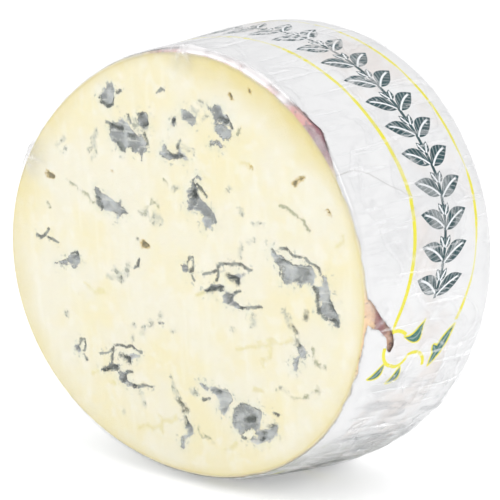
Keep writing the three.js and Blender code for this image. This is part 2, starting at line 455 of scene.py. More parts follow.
cheeseLook = {
    "faceCells": 290,
    "sideRuns": (0.012, 0.03, 0.06, 0.1, 0.16, 0.24, 0.34, 0.5, 0.7, 0.9, 1.05, 1.2),
    "hollowDepth": 1.5,
    "patches": [
        [(-23.2, 44.6), (-21.2, 46.6), (-19.4, 48.6), (-17.8, 48.7), (-16.9, 47), (-17.5, 45.2),
         (-18, 43.4), (-20, 42), (-21.8, 42.9)],
        [(-20, 38), (-17.5, 37.9), (-15.2, 39), (-13.4, 38.6), (-12, 36.6), (-10.2, 35.4), (-8.4, 35),
         (-7.2, 33.4), (-7, 31.2), (-8.2, 30.6), (-9, 28.8), (-9.8, 30.2), (-12.6, 31.4), (-14.4, 31),
         (-15.6, 30.2), (-17, 31.4), (-19, 33), (-19.9, 35.4)],
        [(-9.4, 41), (-8, 41.6), (-6.6, 41.4), (-5.6, 40.2), (-5.8, 37.8), (-7, 37.3), (-8.8, 37.9),
         (-9.2, 39.4)],
        [(6.2, 43.2), (8, 42.6), (10.4, 41.4), (10.8, 40), (9.4, 39.4), (7, 40.2), (6, 41.6)],
        [(14.6, 44.6), (16.2, 43.4), (17.2, 44.8), (19.2, 44.8), (19.8, 43), (21.6, 41.6), (22, 40),
         (20.4, 39.8), (18.2, 40.4), (16.6, 41.4), (16.4, 42.6)],
        [(16.8, 40), (19, 39.8), (20.8, 38.8), (22.6, 38.8), (22, 37), (21.2, 36.2), (19, 36.4),
         (17.4, 37.4)],
        [(-2.6, 31.2), (-1.4, 31.8), (-0.6, 33.4), (0, 31.8), (1.4, 31), (2.8, 31.1), (3.8, 32),
         (4.6, 33), (4.8, 31.8), (5.8, 31.2), (7.6, 30), (6.2, 29.8), (4.4, 30.2), (1, 29.7),
         (-1.6, 29.8)],
        [(8.2, 24), (9.4, 24), (9.6, 21.6), (10.4, 20), (12.6, 18.6), (14.6, 16.6), (15.6, 14.6),
         (14.4, 14), (13.2, 12.8), (11.6, 12.2), (10.8, 14), (11.6, 15.4), (10.4, 16.8), (8.4, 17.2),
         (6.2, 16.2), (6, 18.4), (7, 20), (6.2, 21.6), (7.6, 22.4)],
        [(-27.2, 19), (-26, 19.8), (-25, 18.2), (-22, 17.4), (-19.8, 16.4), (-17.6, 16.8), (-18, 15.4),
         (-15.4, 13.6), (-17.6, 13.4), (-19.4, 12.6), (-19.8, 10.8), (-20.4, 13), (-22.4, 13.8),
         (-25, 13.8), (-26.8, 14.4), (-27.2, 16.4)],
        [(-40.6, -2.6), (-39.4, -0.8), (-37.4, -0.2), (-36.2, 1), (-35.6, -0.8), (-35.6, -3),
         (-37, -3.9), (-39.2, -3.6)],
        [(33.1, 9.8), (34, 8.4), (35.6, 8), (37.6, 7), (39.4, 6.2), (42.6, 6.2), (45.2, 6.4),
         (46.2, 4.6), (46, 2.6), (45.2, 1.6), (42.6, 1.8), (41.4, 1), (40, 2), (38.6, 1), (36.8, 0.6),
         (35.8, 1.4), (36.4, 2.6), (35.2, 3), (35.4, 4.8), (33.8, 6.2), (33, 7.6)],
        [(46, 1.4), (48.4, 2), (48.8, 4.4), (50.2, 4.4), (50.4, 1), (50.6, -1.4), (52.4, -4.4),
         (53.4, -7), (52.4, -7.8), (50.2, -7.4), (49.6, -6.4), (46.6, -5.4), (47, -3), (46.6, -1),
         (45.8, 0.4)],
        [(40, -14.4), (41.4, -14.8), (42.4, -16.4), (41.6, -17.8), (40.4, -18.4), (39.6, -20),
         (39.2, -21.8), (38.2, -21.6), (37.8, -20), (38.6, -19), (40.2, -17.4), (40, -15.6)],
        [(9.2, -31.6), (11.4, -30.8), (13.6, -31.4), (15.6, -31), (17, -32), (17.2, -33.6),
         (15.8, -35.4), (15.2, -37.2), (13.6, -38), (12.4, -36.8), (13, -35), (11.8, -33.4),
         (10.2, -32.4)],
        [(18, -35.6), (20, -33.8), (22, -33.6), (24, -34.4), (26, -34.2), (26.8, -35.6), (26.4, -38.4),
         (25.6, -40), (23, -40.6), (21, -41.4), (19.4, -43), (17.4, -41.4), (17, -39), (17.6, -37)],
        [(24.4, -41), (26.2, -39.8), (28.4, -39.6), (30.2, -37.8), (31.8, -37.8), (31.6, -40.2),
         (29.8, -42), (27, -43.4), (25, -44.4), (22.6, -44), (23.4, -42.8), (25, -43)],
        [(0.4, -41.4), (1.4, -42.8), (2.6, -44.2), (2.6, -45.6), (1.4, -46.6), (-0.2, -47.4), (-1, -49),
         (-1, -50.6), (-1.8, -50.8), (-2, -48.6), (-1, -47), (0.2, -46), (0.4, -44)],
        *knotPatches,
        *moved(knotPatches, *secondKnot),
        *ringPatches,
        *moved(ringPatches, *secondRing),
    ],
    "mould": {
        "grey": [
            [(17.4, 44.6, 0.4), (19, 43.9, 0.5)],
            [(2.5, 38.6, 0.4), (3.4, 40.2, 0.5)],
            [(15.6, 34.8, 0.3), (17.4, 35.4, 0.4), (18.6, 34.2, 0.4)],
            [(-44.8, -3.7, 0.3), (-41, -2.6, 0.6)],
            [(8.4, 25, 0.3), (9.8, 26, 0.3), (11.2, 25.4, 0.4)],
            [(6.4, -30.7, 0.3), (8.8, -31.7, 0.4)],
        ],
        "line": [
            [(-22.8, 43.6, 0.3), (-20, 42.1, 0.38), (-18, 43.2, 0.32), (-17.6, 44.6, 0.28)],
            [(-16.4, 45.9, 0.3), (-14.8, 46.8, 0.4)],
            [(-17.8, 32.6, 0.3), (-16.2, 31, 0.38), (-15, 30.3, 0.3)],
            [(-21, 38.1, 0.26), (-17.5, 37.8, 0.28)],
            [(-13, 40.4, 0.3), (-12.3, 38.6, 0.45)],
            [(-9.4, 40.6, 0.28), (-7.8, 41.4, 0.28)],
            [(-2.2, 46.8, 0.3), (-0.6, 47.8, 0.5), (0.4, 47.5, 0.3)],
            [(3.6, 32.6, 0.3), (4.9, 34.8, 0.3)],
            [(9.8, 24, 0.3), (11, 23, 0.35), (11.9, 21.8, 0.4), (12.8, 20.6, 0.26)],
            [(12.8, 17.8, 0.25), (14.8, 15.8, 0.3), (15.4, 14.4, 0.25)],
            [(-27, 16.6, 0.3), (-26.2, 14.6, 0.35), (-25.2, 13.9, 0.3)],
            [(20.8, 42, 0.28), (22, 40.4, 0.3), (22.6, 39, 0.28)],
            [(35.6, 9.8, 0.26), (38, 9.9, 0.28), (40, 8.2, 0.3), (43.6, 8, 0.35), (45, 7, 0.4),
             (47.6, 6, 0.45), (48, 4.8, 0.3)],
            [(45.8, 1, 0.45), (46.6, -1, 0.35), (46.8, -4.8, 0.28)],
            [(46.6, -5.4, 0.28), (49.6, -6.6, 0.28), (52.6, -7.7, 0.26)],
            [(33.2, 9.4, 0.26), (34.2, 8.3, 0.26)],
            [(6.8, -35.2, 0.35), (9.4, -34.6, 0.25)],
            [(19.6, -34.2, 0.28), (22, -33.8, 0.3), (24.6, -34.6, 0.35), (26.4, -35.2, 0.5)],
            [(20, -43.2, 0.4), (20.9, -43.4, 0.3)],
            [(31, -34.4, 0.3), (32.3, -34.9, 0.5)],
            [(-6.9, -15.9, 0.35), (-5.6, -15.8, 0.28)],
            [(-38.6, -0.4, 0.26), (-36.4, 0.4, 0.35), (-35.7, -2, 0.28)],
            [(-51.6, 3.9, 0.35), (-50.6, 3.2, 0.5), (-48.6, 3.9, 0.4), (-46.9, 5.8, 0.5)],
            [(-47.4, 3.3, 0.28), (-45.2, 3.2, 0.4), (-43.4, 2.4, 0.35)],
            [(-14.6, -1.5, 0.35), (-13.3, -0.5, 0.45), (-12.8, 1, 0.28)],
            *knotLines,
            *moved(knotLines, *secondKnot),
            *ringLines,
            *moved(ringLines, *secondRing),
        ],
        "core": [
            [(-19, 37, 0.4), (-16.8, 36.2, 0.5)],
            [(-14, 34.6, 0.0), (-12, 35, 0.1)],
            [(-6.4, 39.6, 0.2), (-6.2, 38.5, 0.5), (-7.6, 38, 0.1)],
            [(-7.4, 35.4, 0.2), (-6.9, 33.2, 0.4)],
            [(3, 39.6, 0.1), (3.3, 40, 0.1)],
            [(0, 31.4, 0.1), (2.2, 30.6, 0.2), (4.6, 30.8, 0.2)],
            [(8.2, 21.4, 0.8), (8.1, 20.6, 0.8)],
            [(8.8, 23.4, 0.2), (8.9, 23, 0.2)],
            [(18.4, 41.6, 0.1), (20.4, 40.6, 0.1)],
            [(-36.4, -0.6, 0.2), (-36.2, -1.2, 0.1)],
            [(34.8, 6.6, 0.1), (36.8, 6.6, 0.2)],
            [(49.6, -1.4, 0.1), (50.4, -3.6, 0.5), (52.2, -5.6, 0.1)],
            [(43, 4, -0.1), (43.8, 4, -0.1)],
            [(43.4, -5.6, 0.1), (42.8, -7, 0.2)],
            [(38.3, -10, 0.4), (39.7, -11.4, 0.4)],
            [(39.6, -13.4, 0.1), (40.2, -14.8, 0.2)],
            [(11.6, -32.2, 0.0), (12.6, -32.2, 0.1)],
            [(20.3, -38.7, 0.6), (22.7, -38.1, 0.8)],
            [(25.3, -34.9, 0.0), (26.2, -35.1, 0.2)],
            [(26.2, -42.9, 0.3), (26.8, -42.7, 0.2)],
            [(26.4, -41.1, 0.0), (27, -40.8, 0.0)],
            [(28.8, -38.6, 0.1), (31, -38.1, 0.0)],
            [(-1.5, -37.5, 0.3), (-0.4, -38.3, 0.4)],
            [(-0.7, -39.7, 0.3), (1, -39.4, 0.3)],
            [(0.2, -41.6, 0.3), (0.6, -43.2, 0.2)],
            [(-12.9, 7, -0.1), (-12.4, 6.6, -0.1)],
            [(-20.2, -6.4, 0.0), (-20.3, -4.6, 0.1)],
            *knotCores,
            *moved(knotCores, *secondKnot),
        ],
        "faint": [
            [(9.8, 43.4, 0.3), (11.2, 42.6, 0.4)],
            [(6.4, 33.4, 0.3), (9, 32.2, 0.4)],
            [(-5.6, 14, 1.2), (-4.4, 12.8, 1.4), (-6.6, 12, 0.4)],
            [(-10.4, 14.4, 0.6), (-8.8, 14.2, 0.5)],
            [(-25, 35.2, 0.3), (-26.4, 33, 0.4), (-26, 31.6, 0.4), (-28.4, 29.6, 0.4)],
            [(-26, 29.6, 0.3), (-27.2, 28.2, 0.4)],
            [(-22, -3, 0.6), (-20.2, -4.6, 1.3), (-18, -3.2, 0.6)],
            [(-17.3, -2.4, 0.8), (-17, -1, 0.4)],
            [(-24.8, -4.9, 0.4), (-22.4, -4.9, 0.3)],
            [(-40, 30.8, 0.3), (-37.6, 32.6, 0.4)],
            [(-37.2, 29.6, 0.4), (-38.4, 28.4, 0.3)],
            [(-42.6, -18.2, 0.5), (-42.2, -17.2, 0.4)],
            [(-6.8, -15, 0.2), (-5.6, -13.4, 0.3)],
            [(-10.6, -17, 0.5), (-10, -16, 0.4)],
            [(-13.4, -20, 0.6), (-12.6, -18, 0.5)],
            [(-16.8, -18.2, 0.5), (-16.2, -17.8, 0.4)],
            [(-17.6, -21.8, 0.4), (-17.2, -21.2, 0.3)],
            [(-2.2, -17.6, 0.4), (-1.6, -17.2, 0.4)],
            [(23.6, 18.6, 0.3), (23.9, 17.6, 0.5)],
            [(28, 15.4, 0.3), (31, 15.4, 0.3)],
            [(25.9, -8.6, 0.2), (25.9, -11.2, 0.4), (24.8, -12, 0.2)],
            [(18.4, -14, 0.3), (19, -13.6, 0.3)],
            [(3.8, -33.6, 0.6), (5, -34.2, 0.5)],
            [(23.2, 9.4, 0.3), (22.8, 6.4, 0.5)],
            [(12.2, 45.1, 0.3), (13.2, 45, 0.3)],
            [(13.2, 41, 0.2), (14.2, 41.6, 0.2)],
            [(19.4, 23, 0.2), (20.6, 23.6, 0.25)],
            [(-15.6, -37.8, 0.5), (-14.8, -40.6, 0.5)],
            [(-23.2, -44.2, 0.2), (-22.8, -43.8, 0.3)],
            [(36, -6, 0.4), (37.6, -8.8, 0.5)],
            [(32.4, -28, 0.2), (34.4, -27.2, 0.2), (35.8, -28, 0.2)],
            [(-4, -31, 0.2), (-2.4, -36.2, 0.6)],
            [(-8.4, 36.6, 0.6), (-10.6, 38.6, 0.8), (-11.2, 37, 0.6)],
            [(3, 22.4, 0.2), (1.4, 22, 0.3)],
            [(27.6, 11, 0.3), (26, 10.6, 0.5)],
        ],
        "green": [
            [(-12.3, 14.8, 0.4), (-10, 15.2, 0.35), (-7, 16.9, 0.4), (-6.2, 17.8, 0.28)],
            [(-7, 17, 0.35), (-5, 17.2, 0.35), (-3.4, 16.2, 0.3)],
            [(-38, 22, 0.26), (-37.2, 20.3, 0.35), (-34, 19, 0.28), (-30.5, 17.6, 0.35),
             (-28.2, 15.4, 0.28)],
            [(24.2, 38.4, 0.28), (25, 40, 0.3)],
            [(44.4, -16, 0.3), (44.6, -17.6, 0.4), (46.4, -18.8, 0.3), (48.8, -18.8, 0.26)],
            [(37, -28.6, 0.35), (38.6, -29, 0.4), (40.6, -28, 0.26)],
            [(41.6, -27.9, 0.3), (43.6, -27, 0.4), (45, -26.6, 0.8), (44.8, -25, 0.35)],
            [(5, -44.4, 0.4), (6.2, -46, 0.35), (9.4, -47.4, 0.28)],
            [(-45.9, 14.2, 0.4), (-45.3, 12.8, 0.4)],
            [(36.5, 20.8, 0.26), (40, 19.6, 0.3), (43, 18, 0.5), (43.9, 16.4, 0.6)],
            [(-2.8, 24.7, 0.28), (-1.4, 24, 0.28), (0, 23, 0.26)],
        ],
        "vein": [
            [(53.8, 12, 0.3), (55.4, 13.6, 0.4), (55.8, 15.6, 0.35)],
            [(-17, -47.4, 0.3), (-14, -46.6, 0.4), (-12, -46.9, 0.35), (-9.6, -45.6, 0.3),
             (-9, -43.6, 0.4), (-5.4, -43.2, 0.3), (-2.8, -42, 0.5)],
            [(-9.2, -45, 0.3), (-9.4, -48.6, 0.3)],
            [(19.5, -18.6, 0.3), (24, -18, 0.35), (27, -17.4, 0.5), (31, -17, 0.3), (31.4, -15, 0.4),
             (34, -14.9, 0.3), (37.4, -13.8, 0.35)],
            [(14.4, -47.8, 0.3), (17.6, -46.6, 0.35)],
            [(7, -5.8, 0.35), (9.6, -4.9, 0.4)],
            [(-34, -34.6, 0.4), (-31.6, -33.6, 0.4)],
            [(-26.4, -36, 0.6), (-28, -36.8, 0.4)],
            [(-34, -8, 0.3), (-30, -10.4, 0.4), (-26.6, -9.4, 0.3)],
            [(25.4, 30.6, 0.3), (28, 29.6, 0.5)],
            [(24.4, -28.8, 0.3), (27, -28.8, 0.3)],
            [(28.6, -21.6, 0.3), (31.6, -20, 0.35), (31.6, -17.2, 0.3)],
        ],
        "ochre": [
            [(-44.9, 21.8, 0.9), (-43.2, 21.5, 0.8)],
            [(-10.9, 5.6, 1.0), (-9.4, 5.4, 0.7)],
            [(41.2, 26.9, 0.6), (42.4, 27.8, 0.4), (44, 28.6, 0.5)],
            [(51, 21, 0.45), (51.9, 20, 0.4)],
            [(22.3, 47.6, 0.5), (22.9, 47, 0.5)],
            [(-20.1, 25.1, 0.3), (-19.8, 25, 0.3)],
            [(27.9, 29.9, 0.3), (28.2, 29.6, 0.25)],
            [(28.8, 49, 0.35), (29.1, 48.6, 0.3)],
        ],
    },
}


# The nearest point of a closed outline, and whether each point is inside it.
def outlineNearest(points, outline):
    outline = np.array(outline, dtype=float)
    nearest, best = points.copy(), np.full(len(points), 1e9)
    inside = np.zeros(len(points), dtype=bool)
    for start, end in zip(outline, np.roll(outline, -1, axis=0)):
        along = end - start
        t = np.clip(((points - start) @ along) / (along @ along), 0, 1)
        candidate = start + t[:, None] * along
        away = np.hypot(*(points - candidate).T)
        closer = away < best
        nearest[closer], best[closer] = candidate[closer], away[closer]
        crosses = (start[1] > points[:, 1]) != (end[1] > points[:, 1])
        with np.errstate(divide="ignore", invalid="ignore"):
            crossing = start[0] + (points[:, 1] - start[1]) * along[0] / along[1]
        inside ^= crosses & (points[:, 0] < crossing)
    return nearest, best, inside


# The signed distance from a set of strokes, negative inside: the distance to the nearest stretch
# less its half width there.
def strokeDistance(x, z, strokes):
    nearest = np.full(x.shape, farAway)
    for stroke in strokes:
        for (ax, az, ar), (bx, bz, br) in zip(stroke, stroke[1:]):
            dx, dz = bx - ax, bz - az
            t = np.clip(((x - ax) * dx + (z - az) * dz) / (dx * dx + dz * dz), 0, 1)
            away = np.hypot(x - ax - t * dx, z - az - t * dz) - (ar + t * (br - ar))
            nearest = np.minimum(nearest, away)
    return nearest


# The signed distance from a set of closed outlines, negative inside any of them.
def patchDistance(x, z, patches):
    points = np.stack([x, z], axis=-1)
    closest = np.full(x.shape, farAway)
    for patch in patches:
        _, away, inside = outlineNearest(points, patch)
        closest = np.minimum(closest, np.where(inside, -away, away))
    return closest


# A square grid bent onto a disc: each square ring becomes a circle of the same size.
def discGrid(cells):
    a, b = np.meshgrid(np.linspace(-1, 1, cells + 1), np.linspace(-1, 1, cells + 1), indexing="ij")
    wide = np.abs(a) > np.abs(b)
    safeA, safeB = np.where(a == 0, 1e-9, a), np.where(b == 0, 1e-9, b)
    radius = np.where(wide, a, b)
    angle = np.where(wide, np.pi / 4 * b / safeA, np.pi / 2 - np.pi / 4 * a / safeB)
    return radius * np.cos(angle), radius * np.sin(angle)


# The point numbers round the outside of a square grid, from its lowest corner and anticlockwise.
def gridOutline(cells):
    number = np.arange((cells + 1) ** 2).reshape(cells + 1, cells + 1)
    return np.concatenate([number[:-1, 0], number[-1, :-1], number[:0:-1, -1], number[0, :0:-1]])


# How far the cut face falls at each place: smooth hollows under the grey places, deeper where
# dark, with folds and crumbs inside, and a soft unevenness everywhere.
def faceFall(x, z, fields):
    inside = step(-fields["grey"], -0.1, 1.1)
    folds = crumple(x, z, 3.2, 31) * 0.35 + fractal(x, z, 1.3, 32) * 0.2
    fall = inside * (cheeseLook["hollowDepth"] * (0.75 + 0.25 * fractal(x, z, 7, 33)) + folds)
    fall = fall + step(-fields["core"], -0.6, 0.6) * 0.8 + step(-fields["line"], -0.3, 0.35) * 0.4
    fall = fall + step(-fields["ochre"], -0.2, 0.7) * 0.8
    fall = fall + (step(-fields["green"], -0.3, 0.4) + step(-fields["vein"], -0.4, 0.4)) * 0.25
    fall = fall + step(-fields["faint"], -0.4, 0.8) * 0.15
    crumbs = step(2.2 - fields["grey"], 0, 2) * (1 - inside)
    fall = fall + crumbs * fractal(x, z, 1.1, 34) * 0.09
    return fall + 0.07 * (1 + fractal(x, z, 9, 35, 4))


# The cut face on a disc grid, with the side's rings round it and a pole at the heel, and the fields
# that the material reads: signed distances to the mould, ripeness and the rind's colours.
def buildCheese():
    cells = cheeseLook["faceCells"]
    discX, discZ = discGrid(cells)
    share, angle = np.hypot(discX, discZ).ravel(), np.arctan2(discZ, discX).ravel()
    cutY = cutEdge(angle, 0.0, 0.0)
    drop = cheeseShape["edgeDrop"] * cheeseShape["edgeRound"]
    rim = sideRadius(angle, cutY, 0.0) - drop
    x, z = share * rim * np.cos(angle), share * rim * np.sin(angle)
    warpX, warpZ = x + fractal(x, z, 2.0, 11, 3) * 0.4, z + fractal(x, z, 2.0, 21, 3) * 0.4
    fields = {key: strokeDistance(warpX, warpZ, strokes) for key,
              strokes in cheeseLook["mould"].items()}
    bentX, bentZ = warpX + fractal(x, z, 5.0, 12, 2) * 1.3, warpZ + fractal(x, z, 5.0, 22, 2) * 1.3
    for key in ("green", "vein"):
        fields[key] = strokeDistance(bentX, bentZ, cheeseLook["mould"][key])
    fields["grey"] = np.minimum(fields["grey"], patchDistance(warpX, warpZ, cheeseLook["patches"]))
    fromRim = (1 - share) * rim
    faceY = cheeseShape["cutLean"] * z + edgeFall(fromRim)
    faceY = faceY + faceFall(x, z, fields) * step(fromRim, 0, 1.5)
    facePoints = np.stack([x, faceY, z], axis=-1)
    outline = gridOutline(cells)
    ringAngle = angle[outline]
    runs = np.array(cheeseLook["sideRuns"])[:, None]
    radius, y = skin(ringAngle[None, :], runs, 0.0, drop)
    fromCut = y - cutY[outline][None, :]
    noiseArc = ringAngle[None, :] * cheeseShape["noiseRadius"]
    aroundNoise = 2 * np.pi * cheeseShape["noiseRadius"]
    rough = fractal(noiseArc + 0 * y, y, 5, 41, 4, aroundNoise) * 0.18 - 0.12
    radius = radius - edgeFall(fromCut) + rough * step(fromCut, 0, 3)
    sidePoints = settled(radius * np.cos(ringAngle), y, radius * np.sin(ringAngle), 0.0)
    heel = np.array([[0, cheeseShape["heelLevel"], 0]])
    points = np.concatenate([facePoints, sidePoints.reshape(-1, 3), heel])

    number = np.arange((cells + 1) ** 2).reshape(cells + 1, cells + 1)
    faceQuads = np.stack([number[:-1, :-1], number[1:, :-1], number[1:, 1:], number[:-1, 1:]], axis=-1)
    sideRings = len(facePoints) + np.arange(sidePoints.shape[0] * len(outline)).reshape(-1,
                                                                                        len(outline))
    rings = np.concatenate([outline[None, :], sideRings])
    faces = (
        faceQuads.reshape(-1, 4).tolist()
        + ringQuads(rings).tolist()
        + poleFan(rings[-1], len(points) - 1, outwards=False).tolist()
    )
    besides = len(points) - len(facePoints)
    layers = {key: np.concatenate([values, np.full(besides, farAway)]) for key,
              values in fields.items()}
    corner = np.degrees(angle)
    upperRight = step(corner, 18, 42) * (1 - step(corner, 72, 92))
    onLeft = step(np.abs(corner), 110, 150)
    reach = 3.2 + 6.0 * upperRight + 5.0 * onLeft + (1.2 + 2.0 * onLeft) * fractal(x, z, 10, 51)
    ripe = (1 - step(fromRim, 0.3, 1)) * 0.3 + np.clip(1 - fromRim / reach, 0,
                                                       1) * (0.5 + 0.5 * upperRight)
    layers["ripe"] = np.concatenate([ripe, np.ones(besides)])
    layers["rind"] = np.concatenate([1 - step(fromRim, 0.0, 0.35), np.ones(besides)])
    everyAngle = np.degrees(np.concatenate([angle, np.tile(ringAngle, len(runs)), [0.0]]))
    byTear = step(everyAngle, -21, -17) * (1 - step(everyAngle, -1, 3))
    layers["dusky"] = byTear + step(everyAngle, 28, 34) * (1 - step(everyAngle, 88, 98))
    layers["rosy"] = step(everyAngle, 26, 32) * (1 - step(everyAngle, 88, 98))
    ringCut = np.concatenate([np.zeros(len(x)), fromCut.ravel(), [60.0]])
    layers["browned"] = step(ringCut, 2.0, 9.0)
    return makePiece("cheesePiece", points, faces, layers)


# Ivory paste, yellower where it is ripe, stained and lined by mould, with painted shade and painted highlights in the
# mould's hollows, inside a mottled rind.
def cheeseMaterial():
    material, tree = newMaterial("cheesePaste")
    place = objectPlace(tree)
    ivory, cream = colour(0.725, 0.695, 0.56), colour(0.735, 0.68, 0.455)
    paste = blend(tree, rise(tree, cloud(tree, place, 55, 4), 0.40, 0.66), ivory, cream)
    paste = tint(tree, paste, rise(tree, cloud(tree, place, 240, 4), 0.48, 0.66), 0.5,
                 colour(0.755, 0.735, 0.64))
    drawn = drawnOut(tree, place, (0, math.radians(-7), 0), (330, 100, 42))
    knifeMarks = rise(tree, cloud(tree, drawn, 1.0, 3), 0.52, 0.68)
    paste = tint(tree, paste, knifeMarks, 0.2, colour(0.79, 0.775, 0.70))
    ripe = times(tree, field(tree, "ripe"), plus(tree, 0.5, cloud(tree, place, 160, 3)), clamp=True)
    paste = blend(tree, ripe, paste, colour(0.65, 0.555, 0.23))

    fine = times(tree, minus(tree, cloud(tree, place, 1500, 3, 0.6), 0.5), 2.0)
    broad = times(tree, minus(tree, cloud(tree, place, 480, 3), 0.5), 2.0)
    ragged = plus(tree, fine, broad)
    grey, core, faint, green, vein, ochre = (
        plus(tree, field(tree, key), ragged) for key in ("grey", "core", "faint", "green", "vein",
                                                         "ochre")
    )
    line = plus(tree, field(tree, "line"), times(tree, ragged, 0.5))
    bloom = useGroup(tree, blotchGroup, Vector=place, Scale=420.0, Low=0.36, High=0.66)["Mask"]
    halo = times(tree, rise(tree, grey, 2.6, 0.0), bloom)
    paste = tint(tree, paste, halo, 0.4, colour(0.56, 0.60, 0.51))
    near = larger(tree, rise(tree, grey, 3.4, 0.8), rise(tree, line, 1.8, 0.4))
    specks = times(tree, rise(tree, cloud(tree, place, 760, 3, 0.6), 0.59, 0.66), near)
    paste = tint(tree, paste, specks, 0.6, colour(0.30, 0.33, 0.29))
    faintMask = times(tree, rise(tree, faint, 1.0, -0.5), plus(tree, 0.35, bloom), clamp=True)
    paste = tint(tree, paste, faintMask, 0.6, colour(0.42, 0.44, 0.38))
    dots = times(tree, rise(tree, cloud(tree, place, 700, 3, 0.6), 0.52, 0.60),
                 rise(tree, faint, 0.8, 0.0))
    paste = tint(tree, paste, dots, 0.6, colour(0.20, 0.22, 0.18))
    paste = tint(tree, paste, rise(tree, vein, 0.7, -0.3), 0.55, colour(0.66, 0.60, 0.30))
    broken = rise(tree, cloud(tree, place, 420, 3, 0.5), 0.38, 0.54)
    veined = times(tree, rise(tree, green, 0.35, -0.35), plus(tree, 0.25, times(tree, broken, 0.55)))
    paste = blend(tree, veined, paste, colour(0.30, 0.31, 0.20))
    ochreEye = blend(tree, rise(tree, ochre, 0.0, -0.6), colour(0.56, 0.42, 0.16),
                     colour(0.16, 0.13, 0.05))
    paste = tint(tree, paste, rise(tree, ochre, 0.5, -0.3), 0.88, ochreEye)

    # the hollows' lining: soft greys, lighter mottles painted as highlights, pale smears along the knife's way, and
    # painted shade along its walls and where it is deep
    lining = blend(tree, rise(tree, cloud(tree, place, 200, 3, 0.55), 0.40, 0.62),
                   colour(0.50, 0.52, 0.515), colour(0.29, 0.305, 0.30))
    # painted highlights: lighter mottles on the lining
    lining = blend(tree, rise(tree, cloud(tree, place, 700, 3), 0.56, 0.72), lining,
                   colour(0.55, 0.56, 0.53))
    smear = drawnOut(tree, place, (0, math.radians(-48), 0), (90, 200, 1100))
    smears = rise(tree, cloud(tree, smear, 1.0, 2), 0.58, 0.66)
    lining = tint(tree, lining, smears, 0.55, colour(0.66, 0.67, 0.63))
    # painted shade: a broken dark band along the inside of each hollow's outline, where its wall is in shadow
    edge = times(tree, rise(tree, grey, -0.55, 0.0), rise(tree, cloud(tree, place, 170, 3), 0.46, 0.56))
    lining = tint(tree, lining, edge, 0.75, colour(0.09, 0.10, 0.095))
    inside = rise(tree, grey, 0.3, -0.2)
    paste = blend(tree, inside, paste, lining)
    crack = rise(tree, line, 0.32, -0.12)
    crackTone = blend(tree, rise(tree, cloud(tree, place, 380, 2), 0.42, 0.6),
                      colour(0.075, 0.085, 0.078), colour(0.24, 0.26, 0.24))
    paste = tint(tree, paste, crack, 0.88, crackTone)
    # painted shade: soft deep places along the core strokes, darkened as if in shadow
    paintedDepthShade = rise(tree, core, 1.0, -0.5)
    paste = tint(tree, paste, paintedDepthShade, 0.88, colour(0.075, 0.088, 0.078))

    fleck = cloud(tree, place, 900, 4, 0.65)
    patch = cloud(tree, place, 150, 4, 0.6)
    tan = blend(tree, field(tree, "browned"), colour(0.84, 0.61, 0.38), colour(0.50, 0.29, 0.18))
    tan = blend(tree, field(tree, "rosy"), tan, colour(0.74, 0.33, 0.29))
    mottled = plus(tree, patch,
                   times(tree, plus(tree, field(tree, "browned"), field(tree, "rosy")), 0.05))
    middle = times(tree, field(tree, "browned"), minus(tree, 1.0, field(tree, "browned")))
    amount = larger(tree, plus(tree, 0.2, times(tree, middle, 2.8)), field(tree, "rosy"))
    mauve = times(tree, rise(tree, mottled, 0.50, 0.58), amount, clamp=True)
    rind = blend(tree, mauve, tan, colour(0.30, 0.12, 0.15))
    rind = tint(tree, rind, rise(tree, fleck, 0.54, 0.68), 0.75, colour(0.13, 0.06, 0.07))
    pale = useGroup(tree, blotchGroup, Vector=place, Scale=300.0, Low=0.5, High=0.68)["Mask"]
    rind = tint(tree, rind, pale, 0.4, colour(0.74, 0.62, 0.54))
    light = blend(tree, rise(tree, fleck, 0.45, 0.7), colour(0.74, 0.68, 0.48),
                  colour(0.68, 0.56, 0.40))
    rind = blend(tree, field(tree, "dusky"), light, rind)
    surface = blend(tree, field(tree, "rind"), paste, rind)

    mould = larger(tree, inside, paintedDepthShade)
    rough = larger(tree, mould, field(tree, "rind"))
    grain = plus(tree, cloud(tree, place, 1100, 5, 0.6),
                 times(tree, cloud(tree, place, 3200, 3), plus(tree, 0.15, mould)))
    finishMaterial(tree, principled(tree, {
        "Base Color": surface,
        "Roughness": plus(tree, 0.46, times(tree, rough, 0.32)),
        "Subsurface Weight": 0.2,
        "Subsurface Radius": (1.0, 0.75, 0.4),
        "Subsurface Scale": 0.001,
        "Specular IOR Level": 0.35,
        "Normal": bump(tree, grain, 0.45, 0.0004),
    }))
    return material


cheesePiece = buildCheese()
cheesePiece.data.materials.append(cheeseMaterial())
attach(cheesePiece, "root")
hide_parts("cheese")
print("cheese made:", len(cheesePiece.data.polygons), "faces")

paperLook = {
    "columns": 600,
    "rows": 78,
    "standOut": 0.3,
    "thickness": 0.1,
    "arcRadius": 65.0,  # arc lengths on the paper are taken at this radius
    # how far the paper's edge stands back from the cut, in mm at each angle in degrees
    "edge": ((-180, 1.4), (-84, 0.9), (-70, 0.2), (28, 0.2), (34, 1.4), (40, 3.6), (46, 2.2), (52, 1.2),
             (58, 2.0), (66, 2.4), (76, 2.4), (84, 1.6), (92, 0.8), (104, 1.4), (180, 1.4)),
    # the tear's outline, as arc length and y
    "tear": ((1.8, -4), (1.1, -1), (-0.4, 1.2), (-2.2, 2.8), (-5, 5), (-7, 7), (-9.2, 9.4),
             (-11.2, 10.8), (-13.5, 11.7), (-16.2, 10.9), (-15, 9.6), (-13.4, 9), (-11.4, 8.2),
             (-10.3, 6.9), (-8.7, 5), (-8.1, 2.8), (-6.5, 0.5), (-3.9, -1.1), (-3.4, -4)),
    "tearLift": 0.45,
    "bandStart": -9.0,
    "bandLength": 146.0,
    "bandWidth": 24.6,
    "farShift": 400.0,  # how far along its map the second copy of the band stands
    "farStart": 250.0,  # where that copy's part of the map begins
    "reliefRange": (-0.1, 0.8),
}
